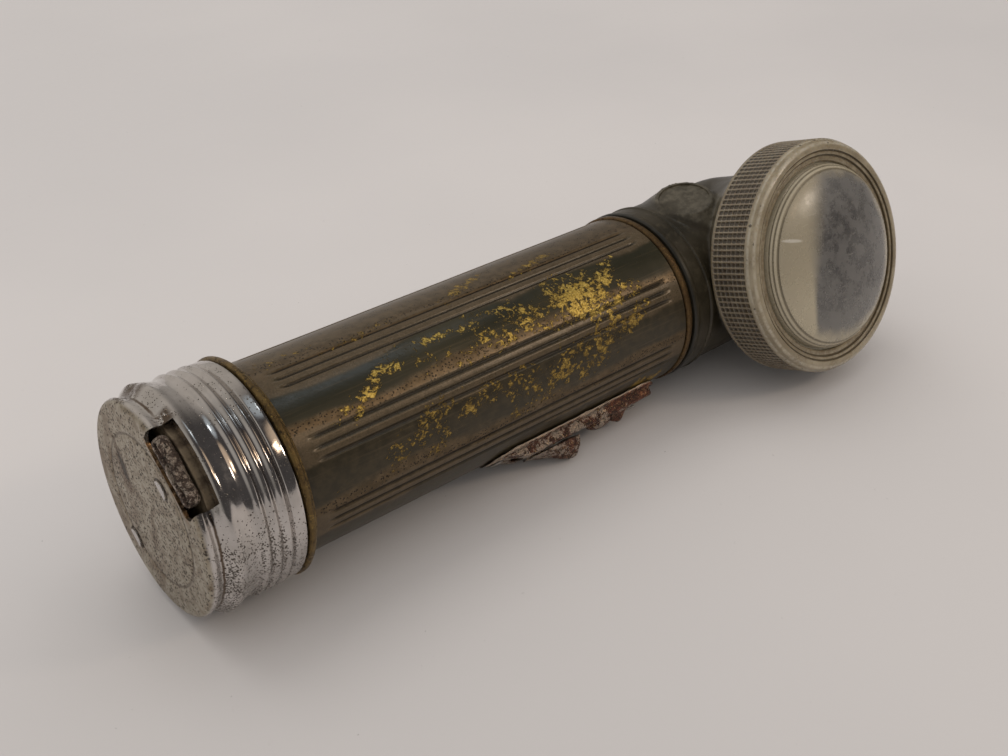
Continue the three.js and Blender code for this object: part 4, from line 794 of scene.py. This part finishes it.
def make_cap():
    curve = smooth_line([(1.2, 20.8), (2.7, 20.25), (3.95, 21.125), (5.2, 22.0), (6.95, 21.475), (8.7, 20.95)], 7)
    edge = [(1.2 - 1.2 * unit(90 * k / 8)[0], 19.6 + 1.2 * unit(90 * k / 8)[1]) for k in range(8)]
    face = [(0.0, r) for r in (0.0, 1.5, 3.0, 4.5, 6.0, 7.5, 8.6, 9.6, 10.5, 11.4, 12.4, 13.6)]
    face += [(0.03, 14.0), (0.16, 14.4), (0.20, 14.65), (0.14, 14.9), (0.02, 15.3), (0.0, 15.8), (0.0, 18.9)]
    ribs = [(9.65 + 2.15 * k / 12, 20.95 + 0.3 * (1 - math.cos(2 * math.pi * k / 12))) for k in range(37)]
    band = [(16.25, 21.2), (16.4, 21.32), (16.6, 21.35), (17.9, 21.35), (18.25, 21.34), (18.45, 21.26),
            (18.57, 21.1), (18.6, 20.9), (18.6, 20.2), (5.0, 20.2), (4.7, 19.5), (0.7, 19.5), (0.7, 0.0)]
    outline = np.array(face + edge + curve.tolist() + ribs + band)

    def dented(place, radius, angle):
        turn = (np.degrees(angle) + 180) % 360 - 180
        dent = 0.6 * np.exp(-((turn + 6) / 6) ** 2 - ((place - 4.6) / 1.3) ** 2)
        dent += 0.45 * np.exp(-((turn - 16) / 13) ** 2 - ((place - 0.9) / 1.1) ** 2)
        wave = 0.04 * np.sin(3 * angle + 0.5) + 0.03 * np.sin(7 * angle + 2)
        outer = np.clip((radius - 19.55) * 4, 0, 1) * (place < 18.7)
        sunk = 0.10 * np.exp(-((turn - 20) / 9) ** 2) * np.clip((radius - 17) / 3, 0, 1) * (place < 0.4)
        return place + sunk, radius - outer * (dent + 0.5 * (wave + 0.07))
    shell = lathe(outline, sides=384, shape=dented)
    opening = prism(rounded_strip(WINDOW_END, 24.0, 8.2, 1.6), -2.0, 4.5, WINDOW_TURN, True)
    carve(shell, opening)
    for place in TABS:
        half = [unit(-90 + 180 * k / 20) for k in range(21)]
        tab = prism([(place + TAB_RADIUS * c, TAB_RADIUS * s) for c, s in half], -0.34, 0.35, WINDOW_TURN, True)
        combine(shell, soften_edges(tab, 0.14, 3))
    dress(shell, "tail_cap_skin", CHROME, "cap", ["tail_cap"], 30)


def make_hanger():
    plate = prism(rounded_strip(-7.0, 18.5, 5.4, 2.2), 1.8, 2.7, WINDOW_TURN, True)
    carve(plate, prism(rounded_strip(5.6, 15.1, 3.2, 3.2, 16), 1.0, 3.5, WINDOW_TURN, True))
    sides, steps = 64, 40
    points = []
    for i in range(steps + 1):
        y = -6.5 + 13.0 * i / steps
        end = min(i, steps - i) / 5.0
        shrink = 0.55 + 0.45 * math.sqrt(1 - (1 - min(end, 1.0)) ** 2)
        for k in range(sides):
            turn = 360 * k / sides
            seam = 0.55 * math.exp(-(((turn - 146) + 7 * math.sin(y * 1.1)) / 8) ** 2)
            seam += 0.22 * math.exp(-(((turn - 192) + 9 * math.sin(y * 0.9 + 1)) / 9) ** 2)
            radius = (1.65 - seam) * shrink
            c, s = unit(turn)
            points.append((1.2 + radius * c, y, 18.5 + radius * s))
    bar = raw(turn_about_barrel(points, WINDOW_TURN), closed_stack(steps + 1, sides))
    combine(bar, plate)
    nudge(bar, lambda p, n: p - n * 0.07 * (1 + lumps(p, 1.9, 4))[:, None])
    dress(bar, "hanger_skin", RUST, "hanger", ["hanger_tongue"], 40)


def make_guide_plate():
    ridge = eased([(3.15, 0, 0), (3.15, 19.2, 0.3), (6.4, 19.2, 0.2), (6.4, 18.7, 0.2), (3.75, 18.7, 0.2),
                   (3.75, 14.0, 0.2), (4.85, 14.0, 0.3), (4.85, 13.3, 0.3), (3.75, 13.3, 0.2), (3.75, 0, 0)])
    dress(lathe(ridge, sides=192), "guide_plate_skin", GRIMY, "cap", ["guide_plate"])


def make_ferrules():
    tail = [(8.7, 19.3, 0.15), (8.7, 19.85, 0.2)]
    for k in range(4):
        start = 10.0 + 2.0 * k
        tail += [(start, 19.85, 0.2), (start + 0.7, 19.5, 0.35), (start + 1.4, 19.85, 0.3)]
    tail += [(18.9, 19.85, 0.1), (18.9, 21.65, 0.8), (20.15, 21.65, 0.75), (20.6, 20.55, 0.25), (21.0, 20.5, 0.3),
             (21.0, 19.3, 0.1)]

    def uneven(place, radius, angle):
        waves = 0.05 * np.sin(5 * angle) + 0.03 * np.sin(11 * angle + 1) + 0.08
        return place, radius - waves * np.clip((radius - 20.2) * 2, 0, 1)
    dress(lathe(eased(tail), shape=uneven), "tail_ferrule_skin", BEAD, "torch", ["tail_ferrule"])
    head = [(116.9, 18.3, 0.1), (116.9, 19.45, 0.5), (118.1, 19.45, 0.55), (118.45, 19.05, 0.2),
            (118.8, 19.0, 0.3), (118.8, 18.3, 0.1)]
    dress(lathe(eased(head)), "head_ferrule_skin", BEAD, "torch", ["head_ferrule"])


# Barrel

def make_barrel():
    places = [8.4, 14.0, 19.0, 21.4, 22.6]
    for first, last, count in ((FLUTES_TAIL, 26.8, 9), (28.0, 110.0, 42), (111.1, FLUTES_HEAD, 9)):
        places += list(np.linspace(first, last, count))
    places += [115.2, 116.0, 116.6]
    outline = [(p, BARREL) for p in places] + [(p, BARREL_BORE) for p in (116.6, 60.0, 8.4)]

    def fluted(place, radius, angle):
        turn = np.degrees(angle)
        outer = radius > BARREL - 0.1
        fade = np.clip(np.minimum(place - FLUTES_TAIL, FLUTES_HEAD - place) / FLUTE_FADE, 0, 1)
        fade = fade * fade * (3 - 2 * fade)
        offset = (turn - FLUTE_ANGLE + FLUTE_PITCH / 2) % FLUTE_PITCH - FLUTE_PITCH / 2
        along_arc = np.radians(offset) * BARREL
        dip = np.zeros_like(place)
        for flute in (-FLUTE_GAP, 0.0, FLUTE_GAP):
            share = np.clip(1 - np.abs(along_arc - flute) / FLUTE_HALF, 0, 1)
            dip = np.maximum(dip, share * share * (3 - 2 * share))
        wave = 0.03 * np.sin(2 * angle + place * 0.05) + 0.02 * np.sin(place * 0.21 + 3 * angle) + 0.05
        return place, radius - outer * (FLUTE_DEPTH * dip * fade + 0.6 * wave * np.clip(fade + 0.2, 0, 1))
    tube = lathe(outline, sides=1008, shape=fluted)
    cutters = [prism(rounded_strip(70.33, 98.43, 2.6, 0.3, 3), 14.0, 22.0, SWITCH_TURN)]
    cutters += [pin(place, 14.0, 22.0, RIVET_HOLE, 32, SWITCH_TURN) for place in RIVETS]
    carve(tube, *cutters)
    dress(tube, "barrel_skin", PAINT, "torch", ["barrel"], 40)


# Elbow

def flare(low, high):
    """The branch's outline as it widens from one radius to another towards the nose."""
    points = []
    start, pull, end = (3.0, low), (3.0 + 15.8 * 0.6, low + (high - low) * 0.06), (18.8, high)
    for k in range(25):
        t = k / 24
        points.append(tuple((1 - t) ** 2 * a + 2 * t * (1 - t) * b + t * t * c for a, b, c in zip(start, pull, end)))
    return points


def dome(radius):
    return [(-radius * unit(90 * k / 16)[0], radius * unit(90 * k / 16)[1]) for k in range(17)]


def on_boss(points, faces):
    """Stands a form on the elbow's boss, whose axis leans back to the collar and towards the lens."""
    points = np.array(points, float)
    c, s = unit(BOSS_LEAN)
    x, z = points[:, 0] * c + points[:, 2] * s, -points[:, 0] * s + points[:, 2] * c
    points = np.stack([x + BOSS_X, points[:, 1], z + BOSS_HEIGHT], -1)
    return raw(turn_about_barrel(points, BOSS_TURN), faces)


def make_elbow():
    branch = lathe([(114.0, 0), (114.0, 18.0), (119.6, 18.0), (119.6, 18.9), (125.4, ELBOW), (LENS_AXIS, ELBOW),
                    (LENS_AXIS, 0)], sides=192)
    nose = [(19.2, 24.6), (19.2, NOSE), (26.4, NOSE), (26.4, 0)]
    lens_branch = lathe(dome(ELBOW) + flare(ELBOW, 24.6) + nose, round_lens, 192)
    swelling = on_boss(*drum(-6.5, -0.75, 12.6, 7.0))
    boss = on_boss(*drum(-6.0, 0.0, 7.0, 6.6))
    body = combine(branch, lens_branch, swelling, boss)
    even_out(body, voxel=0.36, rounds=7)
    inside = dome(ELBOW_BORE) + flare(ELBOW_BORE, NOSE_BORE) + [(28.5, NOSE_BORE), (28.5, 0)]
    hollow = lathe(inside, round_lens, 128)
    bore = lathe([(112.0, 0), (112.0, ELBOW_BORE), (LENS_AXIS, ELBOW_BORE), (LENS_AXIS, 0)], sides=128)
    recess = on_boss(*drum(-0.35, 2.0, 5.7, 6.0))
    carve(body, hollow, bore, recess)
    collar = eased([(108.1, ELBOW_BORE, 0), (108.1, 18.0, 0), (119.1, 18.0, 0), (119.1, 19.4, 0.25),
                    (119.5, 19.6, 0.2), (120.3, 19.6, 0.2), (120.7, 19.42, 0.2), (123.9, 19.38, 0.2),
                    (124.3, 19.25, 0.2), (124.55, 19.6, 0.15), (125.15, 19.6, 0.2), (125.5, 19.1, 0.25),
                    (125.9, 18.8, 0.1), (125.9, ELBOW_BORE, 0)])
    combine(body, lathe(collar, sides=384))
    dress(body, "elbow_skin", MOULDING, "torch", ["elbow_housing"], 34)


# Lens end

def make_ring():
    outline = eased([(19.5, 23.2, 0.1), (19.5, 25.6, 0.35)]).tolist()
    outline += [(p, RING) for p in [19.85, 20.05] + list(np.linspace(20.2, 29.4, 76))]
    steps = [(29.75, 25.84, 0.15), (30.35, 25.58, 0.2), (30.95, 25.2, 0.3), (31.3, 24.4, 0.3), (31.3, 23.6, 0.15),
             (31.2, 23.42, 0.1), (30.78, 23.38, 0.08), (30.78, 23.15, 0.08), (30.98, 23.05, 0.1),
             (30.98, 22.6, 0.12), (30.88, 22.42, 0.1), (30.40, 22.38, 0.08), (30.40, 22.15, 0.08),
             (30.58, 22.05, 0.1), (30.58, 21.3, 0.15), (30.40, 21.0, 0.15), (30.0, 20.9, 0.1), (30.0, 23.2, 0)]
    outline += eased(steps, 3).tolist()
    reeds, rows = 128, 7
    row_pitch = (KNURL_FRONT - KNURL_BACK) / rows

    def knurled(place, radius, angle):
        inside = np.clip(np.minimum(place - KNURL_BACK, KNURL_FRONT - place) / 0.35, 0, 1)
        outer_skin = (radius > 25.9) & (place < 30.2)
        reed = np.clip((0.5 - 0.5 * np.cos(reeds * angle)) * 2.4 - 0.15, 0, 1)
        row = np.abs(((place - KNURL_BACK) / row_pitch) % 1.0 - 0.5) * 2
        row = np.clip((1 - row) * 3.6 - 0.25, 0, 1)
        turn = np.degrees(angle)
        deep = KNURL_DEPTH * reed * (0.30 + 0.70 * row) * inside
        chip = 0.0
        for spot, at, size, wide in ((228, 30.9, 0.35, 3.5), (261, 31.1, 0.25, 2.0), (122, 31.0, 0.18, 1.6)):
            chip = chip + size * np.exp(-((turn - spot) / wide) ** 2 - ((place - at) / 0.7) ** 2)
        return place, radius - outer_skin * deep - chip * (radius > 24.8)
    ring = lathe(outline, round_lens, 1152, knurled)
    dress(ring, "lens_ring_skin", RING_STUFF, "ring", ["lens_ring"], 50)


def make_lens():
    quarter = [unit(90 * k / 40) for k in range(41)]
    outside = [(DOME_FOOT + DOME_RISE * s, DOME_RADIUS * c) for c, s in quarter]
    outside = [point for point in outside if all(abs(point[0] - groove) > 0.16 for groove in DOME_GROOVES)]
    for groove in DOME_GROOVES:
        for step, dip in ((-0.12, 0.0), (-0.05, 0.16), (0.05, 0.16), (0.12, 0.0)):
            rise = (groove + step - DOME_FOOT) / DOME_RISE
            outside.append((groove + step, DOME_RADIUS * math.sqrt(1 - rise ** 2) - dip))
    outside.sort()
    inside = [(DOME_FOOT + 4.0 * s, 18.9 * c) for c, s in quarter[::-1]]
    flange = [(28.5, 18.9), (28.5, 22.5), (28.7, 22.7), (29.5, 22.7), (29.7, 22.5), (29.7, 20.6)]
    lens = lathe(flange + [(29.8, DOME_RADIUS)] + outside + inside, round_lens)
    dress(lens, "lens_skin", LENS_STUFF, "lens_pack", ["lens"], 40)
    gasket = lathe(eased([(27.4, 21.1, 0.2), (27.4, 22.7, 0.2), (28.2, 22.7, 0.2), (28.2, 21.1, 0.2)]), round_lens)
    dress(gasket, "gasket_skin", RUBBER, "lens_pack", ["lens_gasket"])


def make_reflector():
    slope = (MIRROR_RIM ** 2 - MIRROR_HOLE ** 2) / (MIRROR_FRONT - MIRROR_BACK)
    radii = [MIRROR_HOLE + (MIRROR_RIM - MIRROR_HOLE) * k / 48 for k in range(49)]
    bowl = [(MIRROR_BACK + (radius ** 2 - MIRROR_HOLE ** 2) / slope, radius) for radius in radii]
    back = [(p - 0.3, r + 0.34) for p, r in bowl]
    back[0], back[-1] = (MIRROR_BACK, 6.3), (26.7, 20.7)
    outline = [(8.7, MIRROR_HOLE), (10.5, MIRROR_HOLE)] + bowl
    outline += [(MIRROR_FRONT, 22.2), (27.0, 22.4), (26.8, 22.4), (26.7, 22.2)] + back[::-1] + [(8.7, 6.3)]
    dress(lathe(outline, round_lens, 192), "reflector_skin", MIRROR, "torch", ["reflector"], 30)


def make_bulb():
    def ball(radius, first, last):
        turns = [unit(first + (last - first) * k / 30) for k in range(31)]
        return [(BULB_MIDDLE + radius * c, radius * s) for c, s in turns]
    globe, thin = ball(5.0, 123, 0), ball(4.5, 0, 126.7)
    outline = [(6.8, 3.9), (9.5, 3.9)] + globe + thin + [(9.5, 3.45), (6.8, 3.45)]
    dress(lathe(outline, round_lens, 96), "bulb_glass_skin", GLASS, "torch", ["bulb_glass"], 60)
    base = eased([(2.9, 0, 0), (2.9, 4.6, 0.4), (7.9, 4.6, 0.1), (7.9, 6.3, 0.15), (8.4, 6.3, 0.15),
                  (8.4, 4.2, 0.15), (3.3, 4.2, 0.1), (3.3, 0, 0)])
    dress(lathe(base, round_lens, 96), "bulb_base_skin", BRASS, "torch", ["bulb_base"])


# Switch

def make_switch():
    rim = prism(rounded_strip(SWITCH_TAIL, SWITCH_HEAD, 5.4, 5.4, 16), 17.0, 21.7)
    band = lathe([(60.0, SEAT), (60.0, FLANGE), (116.0, FLANGE), (116.0, SEAT)], sides=360)
    combine(rim, band, how="INTERSECT")
    box = prism(rounded_strip(SWITCH_TAIL + 1.2, SWITCH_HEAD - 1.2, 4.2, 4.2, 16), 17.0, 21.7)
    soften_edges(box, 0.8, 4)
    carve(box, lathe([(60.0, 0), (60.0, SEAT), (116.0, SEAT), (116.0, 0)], sides=360))
    cover = combine(rim, box)
    cutters = [
        prism(rounded_strip(SWITCH_TAIL + 1.4, SWITCH_HEAD - 1.4, 4.0, 4.0, 16), 17.0, 21.1),
        prism(rounded_strip(*SLOT, 1.5, 1.5, 12), 18.0, 24.0),
    ]
    for place, radius in ((BUTTON, 3.3), (RIVETS[0], RIVET_HOLE), (RIVETS[1], RIVET_HOLE)):
        cutters.append(pin(place, 18.0, 24.0, radius, 48))
    carve(cover, *cutters)
    even_out(cover, voxel=0.2, rounds=3, factor=0.4)

    def rusted(p, n):
        x, y, z = p.T
        ramp = 0.16 + 0.84 * np.clip((x - 68.6) / 4.6, 0, 1)
        z = np.where(z > SEAT, SEAT + (z - SEAT) * ramp, z)
        z = z + 2.2 * np.exp(-((x - 100.8) / 2.1) ** 2 - ((y + 0.9) / 2.4) ** 2) * (z > 21.3)
        rough = 0.08 + 0.10 * lumps(p, 0.9, 8) + 0.06 * lumps(p, 2.2, 9)
        return np.stack([x, y, z], -1) - n * rough[:, None]
    nudge(cover, rusted)
    nudge(cover, lambda p, n: turn_about_barrel(p, SWITCH_TURN))
    dress(cover, "switch_cover_skin", SWITCH_RUST, "torch", ["switch_housing"], 60)


def make_slider():
    heights = [0.10, 0.20, 0.34, 0.62, 0.90, 1, 0.93, 0.62, 0.24]
    shares = [0, 0.15, 0.32, 0.52, 0.68, 0.80, 0.88, 0.95, 1]
    widths = [0.55, 0.8, 0.95, 1, 1, 0.98, 0.92, 0.84, 0.6]
    rows = smooth_line(list(zip(shares, heights, widths)), 5)
    points = []
    arc = 32
    for share, height, width in rows:
        for k in range(arc + 1):
            c, s = unit(180 * k / arc)
            ridge = 1 - 0.05 * (0.5 + 0.5 * math.cos(share * 14.5 * 2 * math.pi / 1.6)) * s
            points.append((SLIDER_TAIL + SLIDER_LENGTH * share, 4.2 * width * c,
                           SLIDER_FOOT + SLIDER_HEIGHT * height * s * ridge))
    hump = raw(points, closed_stack(len(rows), arc + 1))
    stem = prism(rounded_strip(74.5, 79.5, 1.2, 1.2), 20.4, 22.4)
    shoe = prism(rounded_strip(73.6, 80.43, 3.1, 1.2), 20.1, 20.8)
    combine(hump, stem, shoe)
    even_out(hump, voxel=0.2, rounds=3, factor=0.4)
    nudge(hump, lambda p, n: p - n * (0.16 + 0.20 * lumps(p, 0.9, 12) + 0.07 * lumps(p, 2.6, 13))[:, None])
    combine(hump, pin(74.93, 19.2, 20.3, 0.7, 24))
    nudge(hump, lambda p, n: turn_about_barrel(p, SWITCH_TURN))
    dress(hump, "slider_skin", SWITCH_RUST, "slider", ["switch_slider"], 60)


def upright_lathe(outline, place):
    """A small turned form standing in the switch, from (height, radius) pairs."""
    made = lathe(outline, sides=64)
    nudge(made, lambda p, n: turn_about_barrel(
        np.stack([place - p[:, 2], p[:, 1], p[:, 0]], -1), SWITCH_TURN))
    return made


def make_switch_parts():
    def rounded_top(height, radius, rise):
        return [(height + rise * s, radius * c) for c, s in map(unit, range(9, 91, 9))]
    button = [(20.1, 0), (20.1, 1.4), (20.4, 1.4), (20.4, 3.7), (20.8, 3.7), (20.8, 3.0), (BUTTON_FOOT, 3.0)]
    button += rounded_top(BUTTON_FOOT, 3.0, 1.5)
    dress(upright_lathe(button, BUTTON), "button_skin", SWITCH_RUST, "button", ["flash_button"], 45)
    for node, place, seat in (("switch_rivet_tail", RIVETS[0], 19.75), ("switch_rivet_head", RIVETS[1], 21.95)):
        rivet = [(17.4, 0), (17.4, 1.5), (18.0, 1.5), (18.0, 0.8), (seat, 0.8), (seat, 1.35), (seat + 0.1, 1.5)]
        rivet += rounded_top(seat + 0.1, 1.5, 0.45)
        dress(upright_lathe(rivet, place), node + "_skin", STEEL, "torch", [node], 45)


for make in (make_cap, make_hanger, make_guide_plate, make_ferrules, make_barrel, make_elbow, make_ring, make_lens,
             make_reflector, make_bulb, make_switch, make_slider, make_switch_parts):
    make()

# Pieces of the frame that stay take a finish too
KEPT = {
    "tail_spring": STEEL, "liner": FIBRE, "rear_cell": JACKET, "rear_cell_cap": STEEL, "front_cell": JACKET,
    "front_cell_cap": STEEL, "bulb_socket": BRONZE, "bulb_insulator": BLACK_GLASS, "bulb_tip": STEEL,
    "filament_mount": STEEL, "contact_disc": FIBRE, "contact_rivet": BRASS, "centre_contact": BRONZE,
    "ground_strip": BRASS, "switch_blade": BRASS, "switch_insulator": FIBRE,
}
for name, finish in KEPT.items():
    node = frame["nodes"][name]
    node.data.materials.clear()
    node.data.materials.append(finish)


# Stage, light and camera

def make_floor():
    size, steps = 3.0, 24
    points = [(x, y, 0.0) for x in np.linspace(-size, size, steps + 1) for y in np.linspace(-size, size, steps + 1)]
    faces = []
    for i in range(steps):
        for j in range(steps):
            a = i * (steps + 1) + j
            faces.append([a, a + steps + 1, a + steps + 2, a + 1])
    mesh = bpy.data.meshes.new("floor")
    mesh.from_pydata(points, [], faces)
    mesh.materials.append(floor_finish())
    floor = shown("floor", mesh)


def make_lamp(name, way, distance, size, power, colour, mirrored=True):
    """A panel light that looks at the torch; distance and size in metres."""
    lamp = bpy.data.lights.new(name, "AREA")
    lamp.shape, lamp.size, lamp.size_y = "RECTANGLE", *size
    lamp.energy, lamp.color = power, colour
    made = shown(name, lamp)
    way = Vector(way).normalized()
    made.location = way * distance
    made.rotation_euler = way.to_track_quat("Z", "Y").to_euler()
    made.visible_glossy = mirrored


def make_world():
    """A pale room for the light and the background; polished parts mirror a darker front and a light back."""
    world = bpy.data.worlds.new("room")
    bpy.context.scene.world = world
    w = Nodes(world)
    way = w.add("ShaderNodeTexCoord", {}, "Generated")

    def glow(axis, low, high):
        """From 0 to 1 where a direction comes near an axis."""
        axis = Vector(axis).normalized()
        near = w.add("ShaderNodeVectorMath", {0: way, 1: axis}, "Value", operation="DOT_PRODUCT")
        return w.span(near, low, high)
    sky = w.mix(glow((0, 0.25, 1), -0.1, 0.9), (0.78, 0.755, 0.73), (1.0, 0.99, 1.0))
    pale = w.mix(glow((0, 0, 1), -0.1, 0.8), (0.515, 0.497, 0.483), (0.623, 0.614, 0.605))
    room = (0.077, 0.072, 0.072)
    for axis, low, high, tone in (((-0.15, 0.85, 0.50), 0.35, 0.95, (0.60, 0.56, 0.515)),
                                  ((-0.95, 0.10, 0.25), 0.55, 0.95, (0.50, 0.48, 0.45)),
                                  ((0.53, -0.48, 0.70), 0.945, 0.99, (0.74, 0.58, 0.43)),
                                  ((0.40, 0.02, 0.92), 0.965, 0.995, (0.56, 0.63, 0.69))):
        room = w.mix(glow(axis, low, high), room, tone)
    colour = w.mix(w.add("ShaderNodeLightPath", {}, "Is Glossy Ray"), sky, room)
    colour = w.mix(w.add("ShaderNodeLightPath", {}, "Is Camera Ray"), colour, pale)
    w.add("ShaderNodeOutputWorld", {"Surface": w.add("ShaderNodeBackground", {"Color": colour, "Strength": 0.89})})


def make_camera():
    """The camera as solved on the photo, in the torch's own axes."""
    data = bpy.data.cameras.new("camera")
    data.sensor_width, data.lens = 36.0, 43.21
    data.clip_start, data.clip_end = 0.01, 20.0
    camera = shown("camera", data)
    right, down, ahead = (Vector(v) for v in (
        (0.7605, -0.6069, -0.2309), (-0.3493, -0.0825, -0.9334), (0.5474, 0.7905, -0.2747)))
    turn = Matrix((right, -down, -ahead)).transposed().to_4x4()
    place = Matrix.Translation(Vector((-60.53, -202.24, 65.37)) * MM)
    camera.matrix_world = TORCH @ place @ turn
    bpy.context.scene.camera = camera


make_floor()
make_lamp("overhead", (-0.06, 0.50, 1.0), 1.4, (0.9, 0.7), 3.4, (1.0, 0.985, 0.965), False)
make_lamp("cool_panel", (0.42, 0.02, 0.92), 1.1, (0.10, 0.10), 0.13, (0.82, 0.92, 1.0))
make_lamp("warm_window", (0.30, -0.66, 0.69), 1.0, (0.13, 0.16), 0.30, (1.0, 0.76, 0.54))
make_lamp("warm_lamp", (0.56, -0.62, 0.56), 0.55, (0.075, 0.075), 0.30, (1.0, 0.86, 0.72))
make_world()
make_camera()
bpy.context.scene.view_settings.view_transform = "Standard"
